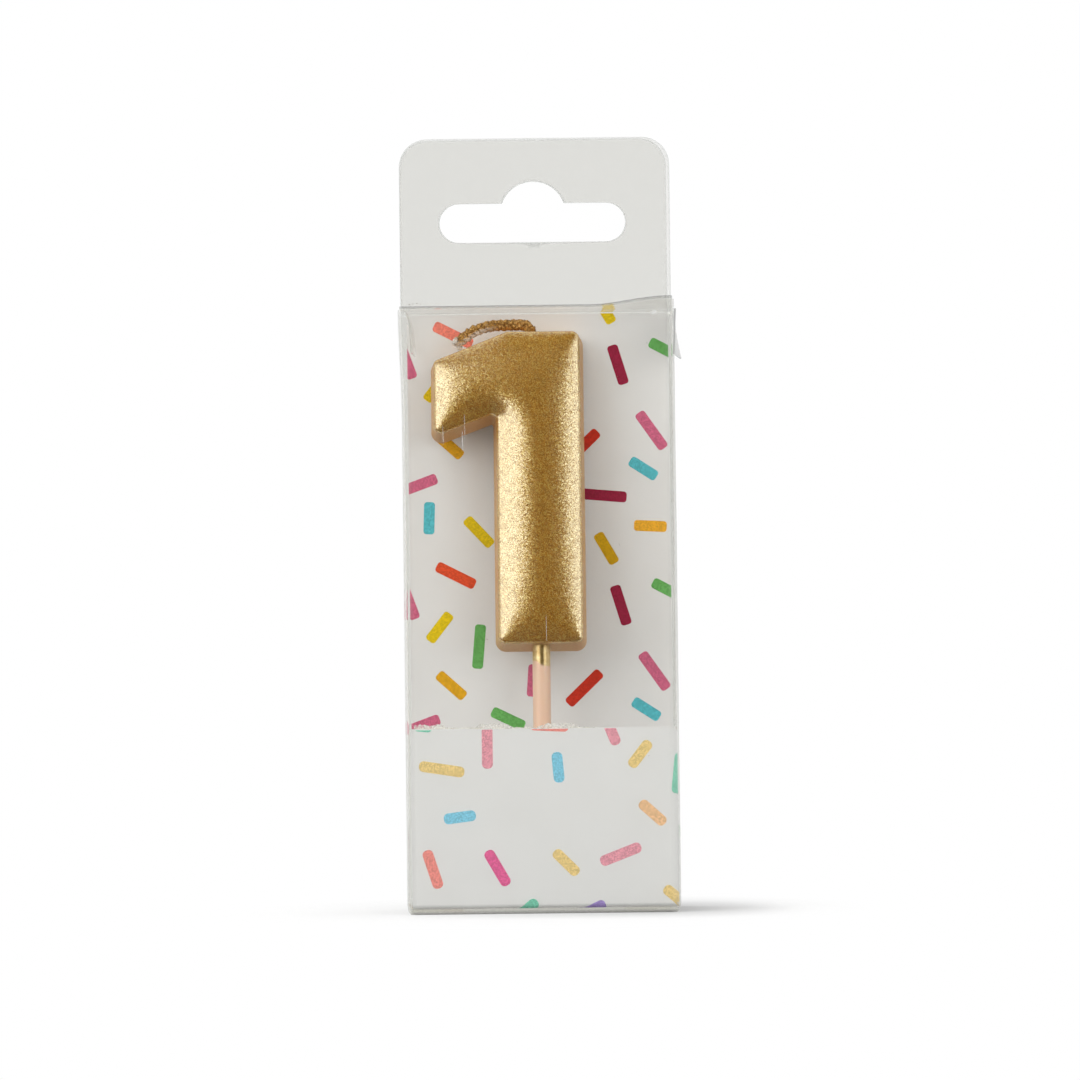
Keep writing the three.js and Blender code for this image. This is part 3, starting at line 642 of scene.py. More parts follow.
def lidSheet():
    # Lid: from the front crease over a small arc and back, level, with its right end sprung up
    under = box["height"] - box["film"] / 2
    path = roundedLine([(-10.15, 103.06), (-10.15, under, lid["creaseRadius"] - 0.15), (9.25, under)],
                       angleStep=10, lineStep=0.8)
    across = np.concatenate([[-1, -0.995], np.linspace(-0.98, 0.98, 60), [0.995, 1]]) * lid["halfWidth"]
    x = np.repeat(across[:, None], len(path), 1)
    y = np.repeat(path[None, :, 0], len(across), 0)
    z = np.repeat(path[None, :, 1], len(across), 0)
    sag = -0.03 * np.sin((y + 10) / 20 * math.pi) * (0.6 + 0.4 * np.sin(x / 7))
    grid = np.stack([x - topBulge(x, z), y, z + springRise(x, y) + sag], 2)
    # Painted highlight along the lid's cut sides, faint on its front fold and strong on its rear fold; painted shade on
    # the top of its front crease
    paintedSheen = np.maximum(paintedSheenNear(lid["halfWidth"] - np.abs(x)), 0.10 * smoothStep(y, -9.6, -10.1))
    paintedSheen = np.maximum(paintedSheen, 0.6 * smoothStep(y, 8.95, 9.2))
    return grid, paintedSheen, 0.6 * smoothStep(y, -9.3, -9.6) * smoothStep(z, 103.22, 103.36)


grid, paintedSheen, crease = lidSheet()
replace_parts(filmPiece("film_lid", grid, "lid", paintedSheen, crease=crease), "lid_panel")


def flapSheet(root, length, halfSpan, centreY, startAngle, curl, twist):
    # Flap: a path that leaves the wall's top at an angle and curls at once by 1 - exp(-s / 0.12), carried across,
    # its far corners rounded
    s = np.linspace(0, 1, 36)
    angle = math.radians(startAngle) + math.radians(curl) * (1 - np.exp(-s / 0.12))
    step = length / (len(s) - 1)
    run = np.concatenate([[0], np.cumsum(np.cos(angle[:-1]) * step)])
    drop = np.concatenate([[0], np.cumsum(np.sin(angle[:-1]) * step)])
    corner = 2.6
    cutIn = corner - np.sqrt(np.maximum(corner ** 2 - np.maximum(length * s - (length - corner), 0) ** 2, 0))
    v = np.linspace(-1, 1, 20)
    half = (halfSpan - cutIn)[:, None]
    grid = np.stack([np.repeat((root[0] + run)[:, None], 20, 1), centreY + half * v[None],
                     np.repeat((root[1] - drop)[:, None], 20, 1)], 2)
    grid[:, :, 0] += twist * s[:, None] * v[None]
    paintedSheen = np.maximum(paintedSheenNear(length * (1 - s))[:, None] + 0 * v[None], paintedSheenNear(half * (1 - np.abs(v[None]))))
    return grid, paintedSheen


# Painted highlight on the dust flaps: the left one whitened faintly all over and more at its edges, the right one
# whitened and greyed all over with painted shade
grid, paintedSheen = flapSheet((-22.6, 102.8), 7.2, 8.8, -0.8, 42, 44, 0.2)
leftFlap = filmPiece("film_left_dust_flap", grid, "left_dust_flap", 0.3 * paintedSheen + 0.08)
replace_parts(leftFlap, "top_dust_flap_left")
grid, paintedSheen = flapSheet((23.5, 102.75), 7.7, 9.6, 0, 88.0, -2.2, 0.8)
rightFlap = filmPiece("film_right_dust_flap", grid, "right_dust_flap", np.maximum(paintedSheen, 0.34), crease=0.36)
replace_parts(rightFlap, "top_dust_flap_right")
for node, finish in (("bottom_panel", baseFilm), ("bottom_tuck_flap", film), ("bottom_dust_flap_left", baseFilm),
                     ("bottom_dust_flap_right", baseFilm), ("glue_seam", glue)):
    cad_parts[node].data.materials.clear()
    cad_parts[node].data.materials.append(finish)
print("film folded")


# Card insert: one strip folded into a J
card = {"thickness": 0.35, "halfWidth": 22.7, "back": 8.35, "front": -9.7, "foot": 0.9, "top": 103.2,
        "labelHeight": 31.5, "frontBend": 0.8, "rearBend": 2.0}
cardMiddle = card["thickness"] / 2
cardPath = roundedLine([(card["back"] + cardMiddle, card["top"]),
                        (card["back"] + cardMiddle, card["foot"] + cardMiddle, card["rearBend"] - cardMiddle),
                        (card["front"] + cardMiddle, card["foot"] + cardMiddle, card["frontBend"] - cardMiddle),
                        (card["front"] + cardMiddle, card["labelHeight"])], angleStep=6, lineStep=1.0)
cardLength = np.concatenate([[0], np.cumsum(np.linalg.norm(np.diff(cardPath, axis=0), axis=1))])
labelStart = cardLength[-1] - (card["labelHeight"] - card["frontBend"] - card["foot"])


def labelShift(s):
    # The label sits a little to the right of the back panel, since the strip isn't folded quite square
    return 0.27 * smoothStep(s, cardLength[-1] - 36, cardLength[-1] - 31)


def onCard(x, s, lift):
    # The card's surface: its folded line followed for a length s, and moved off by lift to the printed side
    x = x + labelShift(s)
    y = np.interp(s, cardLength, cardPath[:, 0])
    z = np.interp(s, cardLength, cardPath[:, 1])
    slope = 0.05
    dy = np.interp(s + slope, cardLength, cardPath[:, 0]) - np.interp(s - slope, cardLength, cardPath[:, 0])
    dz = np.interp(s + slope, cardLength, cardPath[:, 1]) - np.interp(s - slope, cardLength, cardPath[:, 1])
    size = np.maximum(np.hypot(dy, dz), 1e-9)
    return np.stack([x, y + lift * dz / size, z - lift * dy / size], -1)


def cardPiece():
    rng = np.random.default_rng(4)
    across = np.linspace(-card["halfWidth"], card["halfWidth"], 90)
    x = np.repeat(across[:, None], len(cardPath), 1) + labelShift(cardLength)[None]
    grid = np.stack([x, np.repeat(cardPath[None, :, 0], 90, 0), np.repeat(cardPath[None, :, 1], 90, 0)], 2)
    torn = np.cumsum(rng.normal(0, 1, 90))
    torn = (torn - torn.mean()) / np.abs(torn - torn.mean()).max() * 0.10 + rng.uniform(-0.05, 0.05, 90)
    grid[:, -1, 2] += torn
    points, faces, flat, rims = sheetShell(grid[:, ::-1], card["thickness"])
    slots = np.concatenate([np.zeros(flat), np.ones(rims)])
    return meshPiece("folded_card", points, faces, [whiteBoard, cutBoard], "box", faceSlots=slots)


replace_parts(cardPiece(), "card_insert")

inkColours = {
    "orangeRed": "#DB4E2C", "coral": "#E88272", "crimson": "#981C40", "pink": "#C96484", "red": "#C8301F",
    "teal": "#55B6C2", "green": "#66AC5C", "yellow": "#DDC012", "gold": "#D9A21C", "orangeGold": "#E6A92E",
    "olive": "#CCA00E", "softPink": "#DE9BA8", "softYellow": "#E3C98A", "sky": "#84C6DD", "mint": "#7FCBB2",
    "peach": "#E8BF95", "softCoral": "#E79189", "magenta": "#DE6799", "lavender": "#9E8AC6",
}
# Back print: one motif that repeats up the card. Each bar is x, z, angle, length in mm and degrees, and its ink.
backPrint = {"pitch": 41.8, "width": 1.9, "corner": 0.55}
backMotif = [
    (-14.7, 57.9, -27, 7.4, "orangeRed"), (-23.1, 54.0, -70, 7.6, "pink"), (-17.6, 48.9, 52, 6.0, "yellow"),
    (-15.7, 38.8, -42, 6.1, "gold"), (-20.9, 31.9, 20, 6.6, "pink"), (13.9, 52.4, -73, 7.1, "crimson"),
    (22.4, 54.8, -28, 6.6, "green"), (19.6, 40.9, -55, 7.6, "pink"), (7.4, 38.1, 44, 7.9, "red"),
    (18.1, 34.3, -33, 5.4, "teal"), (11.2, 71.5, -5, 7.9, "crimson"), (19.2, 66.1, -3, 5.7, "orangeGold"),
    (11.5, 62.3, -60, 6.0, "olive"), (-19.2, 67.9, 88, 5.6, "teal"), (-10.6, 65.4, -47, 6.4, "yellow"),
    (-10.8, 45.5, 85, 7.7, "green"), (-1.5, 39.5, 86, 5.6, "pink"), (-5.9, 32.9, -26, 6.2, "green"),
]
paleInks = {"orangeRed": "coral", "olive": "yellow"}  # inks of the topmost repeat, whose last bar is left out
# Label print: pastel bars, wider and less regular, by their height on the label's face
labelPrint = {"width": 1.85, "corner": 0.8}
labelBars = [
    (-20.3, 32.0, -6, 3.2, "mint"), (-9.4, 28.9, 90, 8.4, "softPink"), (-17.2, 24.7, -9, 7.8, "softYellow"),
    (1.2, 31.9, -3, 6.6, "softCoral"), (2.6, 24.8, 95, 5.2, "sky"), (11.6, 31.2, -68, 5.8, "softPink"),
    (16.6, 26.9, 52, 5.4, "softYellow"), (23.1, 23.6, 84, 7.0, "mint"), (-14.2, 16.5, 7, 5.5, "sky"),
    (18.6, 16.9, -42, 5.6, "peach"), (-18.9, 7.7, -72, 6.8, "softCoral"), (-7.9, 7.8, -60, 6.8, "magenta"),
    (3.8, 8.6, -45, 5.6, "softYellow"), (13.1, 9.9, 21, 7.4, "softPink"), (22.4, 2.6, -40, 5.0, "softYellow"),
    (-3.4, 0.4, 38, 5.6, "mint"), (7.4, 0.2, 24, 6.6, "lavender"), (-14.8, -2.0, -10, 6.0, "softCoral"),
]


def barOutline(x, s, angle, length, width, corner):
    # Bar with four rounded corners, turned by its angle
    line = roundedLine([(-length / 2, -width / 2, corner), (length / 2, -width / 2, corner),
                        (length / 2, width / 2, corner), (-length / 2, width / 2, corner)],
                       closed=True, angleStep=15, lineStep=0.7)
    turn = math.radians(angle)
    return np.stack([x + line[:, 0] * math.cos(turn) - line[:, 1] * math.sin(turn),
                     s + line[:, 0] * math.sin(turn) + line[:, 1] * math.cos(turn)], 1)


def clipOutline(outline, axis, limit, sign):
    # Keeps the part of a polygon where sign * (coordinate - limit) is below zero, cutting the edges that cross
    kept = []
    for a, b in zip(outline, np.roll(outline, -1, 0)):
        da, db = sign * (a[axis] - limit), sign * (b[axis] - limit)
        if da <= 0:
            kept.append(a)
        if da * db < 0:
            kept.append(a + (b - a) * da / (da - db))
    return np.array(kept)


inkShares = np.concatenate([[1.0], np.linspace(1.0, 0.1, 10)])
inkLifts = np.concatenate([[-0.01], np.linspace(0.020, 0.024, 10)])
ringCount = len(inkShares)


def recut(outline, step=0.4):
    # Cuts long edges into short ones, so that they can follow the card's bend
    runs = []
    for a, b in zip(outline, np.roll(outline, -1, 0)):
        parts = max(1, math.ceil(np.linalg.norm(b - a) / step))
        runs.append(a + (b - a) * np.linspace(0, 1, parts, endpoint=False)[:, None])
    return np.concatenate(runs)


def inkPatches(name, outlines, side):
    # Each bar is a film of ink 0.02 mm thick: rings shrink to its middle, laid on the card's folded surface
    height = card["thickness"] / 2 * side
    points, faces, colours = [], [], []
    start = 0
    for outline, colour in outlines:
        outline = recut(outline)
        middle = outline.mean(0)
        rings = np.stack([middle + (outline - middle) * share for share in inkShares])
        lift = height + side * inkLifts[:, None] + 0 * rings[:, :, 0]
        placed = onCard(rings[:, :, 0], rings[:, :, 1], lift).reshape(-1, 3)
        count = len(outline)
        tip = onCard(middle[0:1], middle[1:2], np.array([height + side * 0.025]))
        root = onCard(middle[0:1], middle[1:2], np.array([height - side * 0.01]))
        index = start + np.arange(ringCount * count).reshape(ringCount, count).T
        faces.extend(gridFaces(index, wrap=True, flip=side > 0).tolist())
        last, first = index[:, -1], index[:, 0]
        tipIndex, rootIndex = start + ringCount * count, start + ringCount * count + 1
        for a, b, c, d in zip(last, np.roll(last, -1), first, np.roll(first, -1)):
            faces.append([b, a, tipIndex] if side > 0 else [a, b, tipIndex])
            faces.append([c, d, rootIndex] if side > 0 else [d, c, rootIndex])
        points.extend([placed, tip, root])
        colours.append(np.repeat(np.array([linear(inkColours[colour])]), ringCount * count + 2, 0))
        start += ringCount * count + 2
    piece = meshPiece(name, np.concatenate(points), faces, [ink], "box")
    layer = piece.data.attributes.new("ink", "FLOAT_COLOR", "POINT")
    layer.data.foreach_set("color", np.concatenate(colours).ravel())
    return piece


def clipToCard(outline, low, high):
    for axis, limit, sign in ((0, card["halfWidth"], 1), (0, -card["halfWidth"], -1), (1, high, 1), (1, low, -1)):
        if len(outline) < 3:
            return outline
        outline = clipOutline(outline, axis, limit, sign)
    return outline


def printCard():
    # On the back a bar's height counts down the strip from the top; on the label it counts up from the fold
    backOutlines, labelOutlines = [], []
    for repeat in (-1, 0, 1):
        for x, z, angle, length, colour in backMotif[:-1] if repeat == 1 else backMotif:
            s = card["top"] - (z + repeat * backPrint["pitch"])
            outline = clipToCard(barOutline(x, s, -angle, length, backPrint["width"], backPrint["corner"]), 0.02,
                                 cardLength[-1])
            if len(outline) > 2 and s < card["top"] + 8:
                backOutlines.append((outline, paleInks.get(colour, colour) if repeat == 1 else colour))
    for x, z, angle, length, colour in labelBars:
        s = cardLength[-1] - (card["labelHeight"] - z)
        outline = clipToCard(barOutline(x - 0.27, s, angle, length, labelPrint["width"], labelPrint["corner"]), 0,
                             cardLength[-1] - 0.15)
        if len(outline) > 2:
            labelOutlines.append((outline, colour))
    inkPatches("back_sprinkles", backOutlines, 1)
    inkPatches("label_sprinkles", labelOutlines, -1)


printCard()
print("card printed")


# Candle: drawn upright with the pick's point at the origin, then leant back against the card
candle = {"tip": (0.0, -7.55, 1.55), "lean": 6.146, "top": 99.02, "height": 55.3, "stem": 15.7, "flagReach": 10.75,
          "shoulder": 2.45, "flagDrop": 5.2, "flagSide": 14.4, "rootDrop": 15.6, "depth": 10.0}
foot = candle["top"] - candle["height"]
leanTurn = np.array(Matrix.Rotation(-math.radians(candle["lean"]), 3, "X"))


def stand(points):
    return np.asarray(points, float) @ leanTurn.T + np.array(candle["tip"])


def numeralOutline():
    stem, top = candle["stem"] / 2, candle["top"]
    left = -stem - candle["flagReach"]
    return roundedLine([(-stem, foot, 1.8), (stem, foot, 1.8), (stem, top, 2.1), (-stem + candle["shoulder"], top, 1.6),
                        (left, top - candle["flagDrop"], 1.6), (left, top - candle["flagDrop"] - candle["flagSide"], 1.8),
                        (-stem, top - candle["rootDrop"], 0.3)], closed=True, angleStep=3.5, lineStep=0.45)


def softDistance(points, outline):
    # Smooth distance to an outline: 2 over the sum, over its edges, of (sin b - sin a) / d. Here d is how far the
    # point is off the edge's line, a and b are the edge's ends as angles off the square to it.
    total = np.zeros(len(points))
    for start, end in zip(outline, np.roll(outline, -1, 0)):
        run = (end - start) / np.linalg.norm(end - start)
        toStart, toEnd = start - points, end - points
        off = toStart[:, 0] * run[1] - toStart[:, 1] * run[0]
        sines = (toEnd @ run) / np.linalg.norm(toEnd, axis=1) - (toStart @ run) / np.linalg.norm(toStart, axis=1)
        total += np.where(np.abs(off) > 1e-7, sines / np.where(np.abs(off) > 1e-7, off, 1), 0)
    return 2 / total


def fillLoop(loop, spacing):
    # Triangles over a closed loop: staggered points inside it, at least half a spacing off it, joined by Delaunay
    low, high = loop.min(0), loop.max(0)
    xs = np.arange(low[0], high[0], spacing)
    zs = np.arange(low[1], high[1], spacing * math.sqrt(0.75))
    x, z = np.meshgrid(xs, zs)
    x = x + spacing / 2 * (np.arange(len(zs)) % 2)[:, None]
    seeds = np.stack([x.ravel(), z.ravel()], 1)
    offset = seeds[:, None] - loop[None]
    near = np.sqrt((offset ** 2).sum(2)).min(1)
    ahead = np.roll(loop, -1, 0)
    crosses = ((loop[None, :, 1] > seeds[:, None, 1]) != (ahead[None, :, 1] > seeds[:, None, 1]))
    rise = np.where(ahead[:, 1] == loop[:, 1], 1, ahead[:, 1] - loop[:, 1])
    reach = loop[None, :, 0] + (seeds[:, None, 1] - loop[None, :, 1]) * ((ahead[:, 0] - loop[:, 0]) / rise)[None]
    inside = (crosses & (seeds[:, None, 0] < reach)).sum(1) % 2 == 1
    seeds = seeds[inside & (near > spacing * 0.6)]
    every = np.concatenate([loop, seeds])
    count = len(loop)
    edges = [(i, (i + 1) % count) for i in range(count)]
    made = delaunay_2d_cdt([Vector(v) for v in every.tolist()], edges, [], 1, 1e-6)
    return seeds, [[made[3][i][0] for i in face] for face in made[2]]


def numeralPiece():
    # Drafted wall, then a rim that turns over on an arc, then a face that swells with the soft distance to its edge
    shape = {"wallEnd": 0.62, "wallFront": -2.75, "rim": 0.75, "faceSlope": 0.462, "spacing": 0.42}
    outline = numeralOutline()
    ahead, behind = np.roll(outline, -1, 0), np.roll(outline, 1, 0)
    tangent = (ahead - behind) / np.linalg.norm(ahead - behind, axis=1, keepdims=True)
    inward = np.stack([-tangent[:, 1], tangent[:, 0]], 1)
    half = candle["depth"] / 2
    turn = np.linspace(0, math.atan(1 / shape["faceSlope"]), 9)[1:]
    inset = np.concatenate([[0.35, 0.12, 0.0], np.linspace(0.03, shape["wallEnd"], 12),
                            shape["wallEnd"] + shape["rim"] * (1 - np.cos(turn))])
    depth = np.concatenate([[half, half - 0.1, half - 0.4], np.linspace(half - 0.9, shape["wallFront"], 12),
                            shape["wallFront"] - shape["rim"] * np.sin(turn)])
    flat = outline[:, None] + inward[:, None] * inset[None, :, None]
    grid = np.stack([flat[:, :, 0], np.repeat(depth[None], len(outline), 0), flat[:, :, 1]], 2)
    rows, cols = grid.shape[:2]
    index = np.arange(rows * cols).reshape(rows, cols)
    faces = gridFaces(index, wrap=True).tolist()
    faces.append(index[::-1, 0].tolist())
    loop = flat[:, -1]
    seeds, triangles = fillLoop(loop, shape["spacing"])
    swell = depth[-1] - shape["faceSlope"] * softDistance(seeds, loop)
    points = np.concatenate([grid.reshape(-1, 3), np.stack([seeds[:, 0], swell, seeds[:, 1]], 1)])
    lookup = np.concatenate([index[:, -1], rows * cols + np.arange(len(seeds))])
    faces.extend(lookup[np.array(triangles)].tolist())
    return meshPiece("gold_numeral", stand(points), faces, [goldWax], "candle",
                     attributes={"bare": smoothStep(points[:, 1], -3.3, -2.2)}, sharpAngle=60)


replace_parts(numeralPiece(), "numeral_one")
print("numeral moulded")


# Wick: three strands plaited along the route, out of the top and over to the left
wickRoute = [(-0.9, -6), (-1.2, -0.6), (-1.6, 0.6), (-2.9, 1.02), (-5.4, 0.98), (-8.2, 0.85), (-10.6, 0.15),
             (-12.3, -0.85), (-13.6, -1.9), (-14.1, -2.3)]
plait = {"width": 0.44, "depth": 0.26, "strand": 0.50, "pitch": 3.4, "sides": 16, "steps": 380, "hairs": 320, "hairTop": 1.7}


def smoothRoute(knots, count):
    # Catmull-Rom: each stretch is a cubic through its two knots, with slopes from the knots around them
    knots = np.asarray(knots, float)
    padded = np.vstack([2 * knots[0] - knots[1], knots, 2 * knots[-1] - knots[-2]])
    t = np.linspace(0, 1, 24, endpoint=False)[:, None]
    runs = []
    for a, b, c, d in zip(padded[:-3], padded[1:-2], padded[2:-1], padded[3:]):
        runs.append(0.5 * (2 * b + (c - a) * t + (2 * a - 5 * b + 4 * c - d) * t ** 2 + (3 * b - a - 3 * c + d) * t ** 3))
    return resample(np.vstack(runs + [knots[-1:]]), count)


def tubeMesh(path, radii, sides, start, reference=(0, 1, 0)):
    # Rings of points at each step of the path, square to it; the ends close on their middle point
    tangent = np.gradient(path, axis=0)
    tangent /= np.maximum(np.linalg.norm(tangent, axis=1, keepdims=True), 1e-9)
    side = np.cross(tangent, np.array(reference, float))
    side /= np.maximum(np.linalg.norm(side, axis=1, keepdims=True), 1e-9)
    other = np.cross(tangent, side)
    angles = np.linspace(0, 2 * math.pi, sides, endpoint=False)
    ring = np.cos(angles)[None, :, None] * side[:, None] + np.sin(angles)[None, :, None] * other[:, None]
    radii = np.broadcast_to(radii, (len(path),))
    grid = path[:, None] + ring * radii[:, None, None]
    index = start + np.arange(len(path) * sides).reshape(len(path), sides).T
    faces = gridFaces(index, wrap=True, flip=True).tolist()
    tail = start + len(path) * sides
    for a, b in zip(index[:, 0], np.roll(index[:, 0], -1)):
        faces.append([a, b, tail])
    for a, b in zip(index[:, -1], np.roll(index[:, -1], -1)):
        faces.append([b, a, tail + 1])
    return np.concatenate([grid.reshape(-1, 3), path[:1], path[-1:]]), faces


def wickPiece():
    rng = np.random.default_rng(11)
    flat = smoothRoute(wickRoute, plait["steps"])
    middle = np.stack([flat[:, 0], np.zeros(len(flat)), candle["top"] + flat[:, 1]], 1)
    lengths = np.concatenate([[0], np.cumsum(np.linalg.norm(np.diff(middle, axis=0), axis=1))])
    tangent = np.gradient(middle, axis=0)
    tangent /= np.linalg.norm(tangent, axis=1, keepdims=True)
    across = np.cross(tangent, (0, 1, 0))
    depthWay = np.broadcast_to((0, 1, 0), across.shape)
    points, faces, bare = [], [], []
    start = 0
    under = smoothStep(lengths, 11.5, 15.5)
    endness = smoothStep(lengths, lengths[-1] - 0.9, lengths[-1] - 0.1)
    for strand in range(3):
        phase = 2 * math.pi * (lengths / plait["pitch"] + strand / 3)
        path = (middle + across * (plait["width"] * np.sin(phase) * (1 + 0.8 * endness))[:, None]
                + depthWay * (plait["depth"] * np.sin(2 * phase))[:, None])
        radii = plait["strand"] * (1 + 0.06 * rng.normal(size=len(path))) * (1 - 0.25 * endness)
        made, quads = tubeMesh(path, radii, plait["sides"], start)
        low = smoothStep((made[:-2] - np.repeat(middle, plait["sides"], 0))[:, 2], -0.15, -0.5)
        low = low * np.repeat(0.75 * under, plait["sides"])
        values = np.maximum(low, np.repeat(endness, plait["sides"]))
        made[:-2] += rng.normal(0, 0.075, made[:-2].shape)
        points.append(made)
        faces.extend(quads)
        bare.append(np.concatenate([values, values[:1], values[-1:]]))
        start += len(made)
    for hair in range(plait["hairs"]):
        frayed = hair < 26
        at = len(middle) - 1 - rng.integers(0, 14) if frayed else rng.integers(92, len(middle))
        way = rng.normal(0, 1, 3) * (0.55, 0.45, 0.55) + (tangent[at] * (1.1 if frayed else 0.3))
        way /= np.linalg.norm(way)
        size = rng.uniform(0.5, 1.3) if frayed else rng.uniform(0.25, 0.75)
        t = np.linspace(0, 1, 5)[:, None]
        path = middle[at] + rng.normal(0, 0.28, 3) + way * size * t + rng.normal(0, 0.22, 3) * t ** 2
        path[:, 2] = np.minimum(path[:, 2], candle["top"] + plait["hairTop"])
        made, quads = tubeMesh(path, 0.035 * (1 - 0.7 * t[:, 0]), 4, start, reference=(0.3, 0.5, 0.8))
        points.append(made)
        faces.extend(quads)
        bare.append(np.full(len(made), 1.0 if frayed else rng.choice([0.0, 0.0, 0.8])))
        start += len(made)
    return meshPiece("plaited_wick", stand(np.concatenate(points)), faces, [braid], "candle",
                     sharpAngle=180, attributes={"bare": np.concatenate(bare)})


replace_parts(wickPiece(), "wick")


# Pick: a round moulded stick with a tapered point and a faint mould line down each side
stick = {"radius": 1.5, "tipRadius": 0.45, "tipLength": 5.0, "socket": 12.0}


def pickPiece():
    # The radius grows from the point along a rounded taper, then holds; the mould line stands 0.04 mm proud
    top = foot + stick["socket"]
    z = np.concatenate([[0, 0.08, 0.25], np.linspace(0.6, stick["tipLength"], 14), np.linspace(stick["tipLength"] + 0.7, top - 0.4, 60), [top - 0.1, top]])
    taper = stick["tipRadius"] + (stick["radius"] - stick["tipRadius"]) * np.sin(np.clip(z / stick["tipLength"], 0, 1) * math.pi / 2)
    ends = np.sqrt(np.clip(1 - (1 - np.clip(z / 0.3, 0, 1)) ** 2, 0.0, 1)) * np.sqrt(np.clip(1 - (1 - np.clip((top - z) / 0.4, 0, 1)) ** 2, 0, 1))
    angles = np.linspace(0, 2 * math.pi, 48, endpoint=False)
    line = 0.035 * np.maximum(0, np.cos(angles)) ** 60 + 0.035 * np.maximum(0, -np.cos(angles)) ** 60
    radius = (taper * np.maximum(ends, 0.02))[:, None] + line[None] * ends[:, None]
    grid = np.stack([radius * np.cos(angles), radius * np.sin(angles), np.repeat(z[:, None], 48, 1)], 2)
    index = np.arange(grid.shape[0] * 48).reshape(grid.shape[0], 48).T
    faces = gridFaces(index, wrap=True).tolist()
    faces.append(index[::-1, 0].tolist())
    faces.append(index[:, -1].tolist())
    return meshPiece("peach_pick", stand(grid.reshape(-1, 3)), faces, [peach], "candle", sharpAngle=60)


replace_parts(pickPiece(), "pick")
print("candle standing")



# Handling marks: torn fibres on the label's edge, scuffs and dust on the film with painted glints among them, and a
# hair on the gold
def tornFibres():
    # Fibres and dried gum that the tear left standing: half see-through, dull and white
    material, tree = newMaterial("torn_board_fibres")
    clot = addNode(tree, "ShaderNodeTexNoise", {"Scale": 1 / 0.0006, "Detail": 3.0}, {"Vector": objectSpace(tree)})
    white = addNode(tree, "ShaderNodeBsdfDiffuse", {"Color": linear("#F3F1EC")})
    clear = addNode(tree, "ShaderNodeBsdfTransparent")
    share = addNode(tree, "ShaderNodeMapRange", {"From Min": 0.38, "From Max": 0.62, "To Min": 0.15, "To Max": 0.85},
                    {"Value": clot.outputs["Fac"]})
    mix = addNode(tree, "ShaderNodeMixShader", links={0: share.outputs[0], 1: clear.outputs[0], 2: white.outputs[0]})
    finishMaterial(tree, mix.outputs[0])
    return material


def speckMaterial(name, colour, rough, cover=1.0):
    # Loose dust, scuffs and painted glints: a dull mark whose tone shifts from one to the next
    material, tree = newMaterial(name)
    shift = addNode(tree, "ShaderNodeTexNoise", {"Scale": 1 / 0.004}, {"Vector": objectSpace(tree)})
    tone = addNode(tree, "ShaderNodeHueSaturation", {"Color": linear(colour)})
    bright = addNode(tree, "ShaderNodeMapRange", {"From Min": 0.3, "From Max": 0.7, "To Min": 0.75, "To Max": 1.1},
                     {"Value": shift.outputs["Fac"]})
    tree.links.new(bright.outputs[0], tone.inputs["Value"])
    mark = addNode(tree, "ShaderNodeBsdfPrincipled", {"Roughness": rough}, {"Base Color": tone.outputs[0]})
    clear = addNode(tree, "ShaderNodeBsdfTransparent")
    mark = addNode(tree, "ShaderNodeMixShader", {0: cover}, {1: clear.outputs[0], 2: mark.outputs[0]})
    finishMaterial(tree, mark.outputs[0])
    return material


def tornEdge():
    rng = np.random.default_rng(23)
    x = np.linspace(-21.8, 10.4, 150)
    tall = 0.45 + 0.35 * np.sin(x / 1.7 + np.sin(x / 0.9)) + rng.uniform(-0.15, 0.2, 150)
    tall = np.clip(tall, 0.06, 0.9) * smoothStep(x, 10.4, 7.0)
    share = np.linspace(0, 1, 5)
    z = card["labelHeight"] - 0.12 + (tall[:, None] + 0.12) * share[None]
    y = card["front"] + cardMiddle + 0.10 * np.sin(x / 0.8)[:, None] * share[None] + rng.normal(0, 0.02, z.shape)
    grid = np.stack([np.repeat(x[:, None], 5, 1), y, z], 2)
    points, faces, _, _ = sheetShell(grid[::-1], 0.05)
    return meshPiece("torn_label_edge", points, faces, [tornFibres()], "box")


def flecks(name, marks, y, material, body):
    # Each mark is a thin lens: two fans over an uneven ring, one towards the front and one towards the film
    rng = np.random.default_rng(len(marks))
    points, faces = [], []
    for x, z, width, height, tilt in marks:
        start, turn = len(points) * 14, math.radians(tilt)
        angles = np.linspace(0, 2 * math.pi, 12, endpoint=False)
        reach = rng.uniform(0.7, 1.1, 12)
        across, up = width / 2 * np.cos(angles) * reach, height / 2 * np.sin(angles) * reach
        ring = np.stack([x + across * math.cos(turn) - up * math.sin(turn), np.full(12, y),
                         z + across * math.sin(turn) + up * math.cos(turn)], 1)
        points.append(np.vstack([ring, [[x, y - 0.02, z], [x, y + 0.005, z]]]))
        for i in range(12):
            j = (i + 1) % 12
            faces.append([start + i, start + j, start + 12])
            faces.append([start + j, start + i, start + 13])
    return meshPiece(name, np.concatenate(points), faces, [material], body)


tornEdge()
frontFace = -10.305
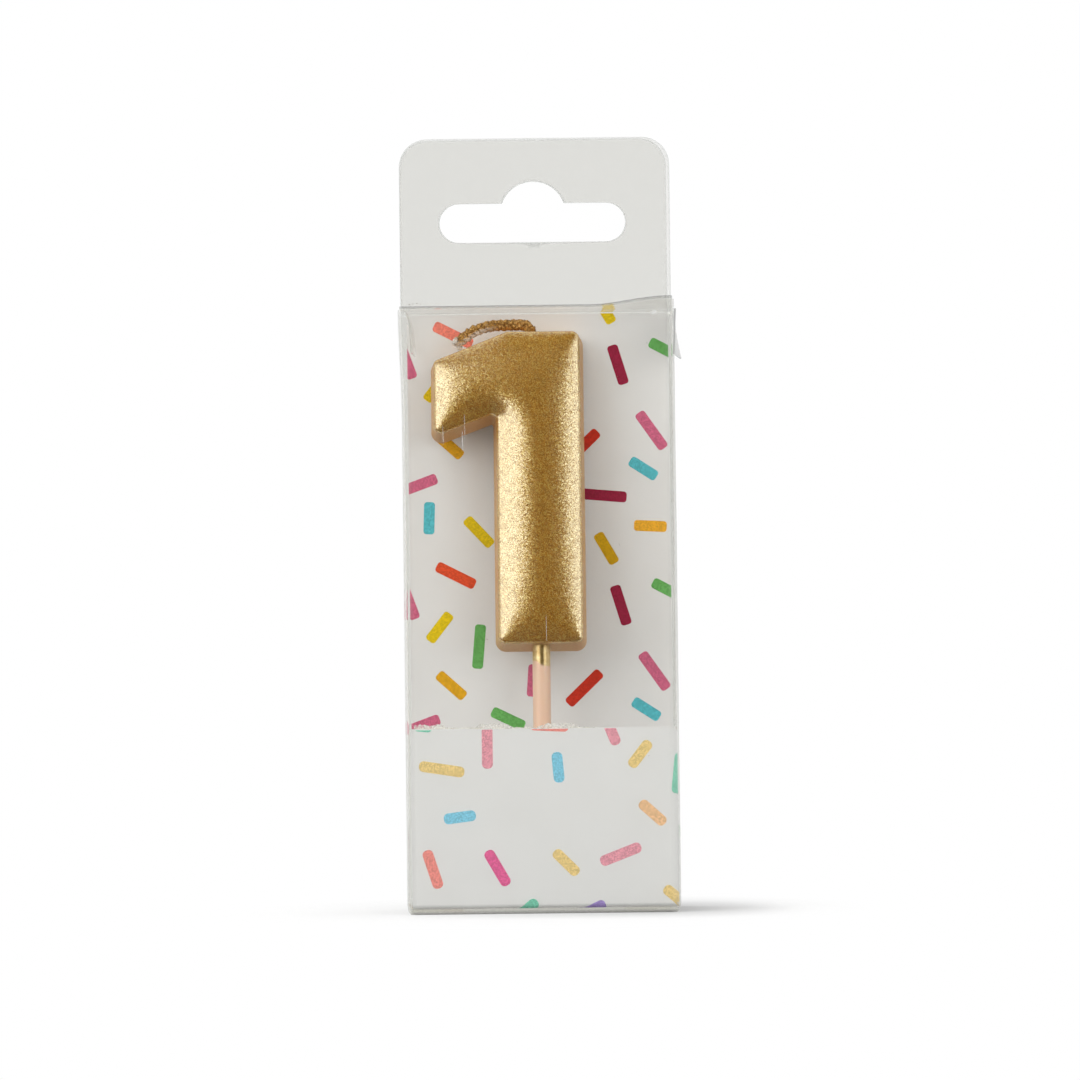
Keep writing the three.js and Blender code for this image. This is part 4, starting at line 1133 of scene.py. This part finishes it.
# The first four scuffs are long thin streaks of painted reflection down the front film; the rest are white specks and a
# smudge
scuffMarksAndGlints = [(-16.3, 81.6, 0.16, 4.2, 1), (-13.0, 80.4, 0.30, 3.6, 1), (-12.6, 82.5, 0.14, 6.0, 1), (0.9, 48.4, 0.12, 5.2, 1),
          (19.9, 102.1, 1.2, 0.7, 20), (-22.8, 91.4, 0.14, 0.8, 25), (7.4, 87.8, 0.2, 0.2, 0), (9.1, 87.7, 0.14, 0.2, 0),
          (7.0, 94.0, 0.16, 0.4, 10), (18.6, 96.9, 0.18, 0.2, 0), (-22.2, 100.6, 0.35, 0.5, 40), (13.5, 62.5, 0.12, 0.5, 30),
          (16.4, 71.3, 0.14, 0.14, 0), (4.6, 72.6, 0.12, 0.14, 0), (-8.6, 36.9, 0.2, 0.12, 15), (2.8, 31.9, 0.3, 0.14, 0)]
dust = [(-21.8, 103.9, 0.32, 0.12, 0), (-21.2, 104.0, 0.26, 0.14, 12), (-20.5, 104.05, 0.34, 0.12, -8),
        (-19.9, 103.95, 0.22, 0.1, 0), (13.5, 91.2, 0.14, 0.14, 0), (-23.0, 98.6, 0.12, 0.2, 0),
        (10.4, 79.2, 0.12, 0.12, 0), (-9.2, 46.7, 0.14, 0.14, 0), (18.1, 26.6, 0.2, 0.08, 30), (-9.8, 15.2, 0.12, 0.1, 0),
        (14.2, 56.8, 0.1, 0.1, 0), (22.9, 31.2, 0.1, 0.3, 0), (-17.3, 47.9, 0.1, 0.1, 0)]
flecks("film_scuff_marks_and_painted_glints", scuffMarksAndGlints, frontFace, speckMaterial("scuffed_film_and_painted_glints", "#F4F6F6", 0.6, 0.16), "box")
flecks("film_dust", dust, frontFace, speckMaterial("brown_dust", "#7D6F60", 0.9), "box")


def goldMarks():
    # A short hair caught in the lacquer, curled to a hook, and three crumbs by it
    turn = np.linspace(-0.6, 3.9, 16)
    hair = np.stack([-6.35 + 0.55 * np.cos(turn), np.full(16, -4.62) - 0.06 * np.sin(turn * 2),
                     88.9 + 0.62 * np.sin(turn)], 1)
    points, faces = tubeMesh(hair, 0.055, 6, 0, reference=(0, 1, 0))
    start = len(points)
    every = [points]
    for x, z, depth, size in ((-2.4, 85.9, -4.78, 0.16), (-2.2, 86.3, -4.80, 0.11), (-2.75, 86.4, -4.76, 0.09)):
        crumb, quads = tubeMesh(np.array([[x, depth + 0.1, z], [x, depth, z], [x + 0.02, depth - 0.08, z]]),
                                np.array([size, size, size * 0.6]), 8, start, reference=(1, 0, 0))
        every.append(crumb)
        faces.extend(quads)
        start += len(crumb)
    return meshPiece("hair_in_lacquer", stand(np.concatenate(every)), faces,
                     [speckMaterial("pale_hair", "#EFE3C4", 0.5)], "candle")


goldMarks()
print("marks placed")
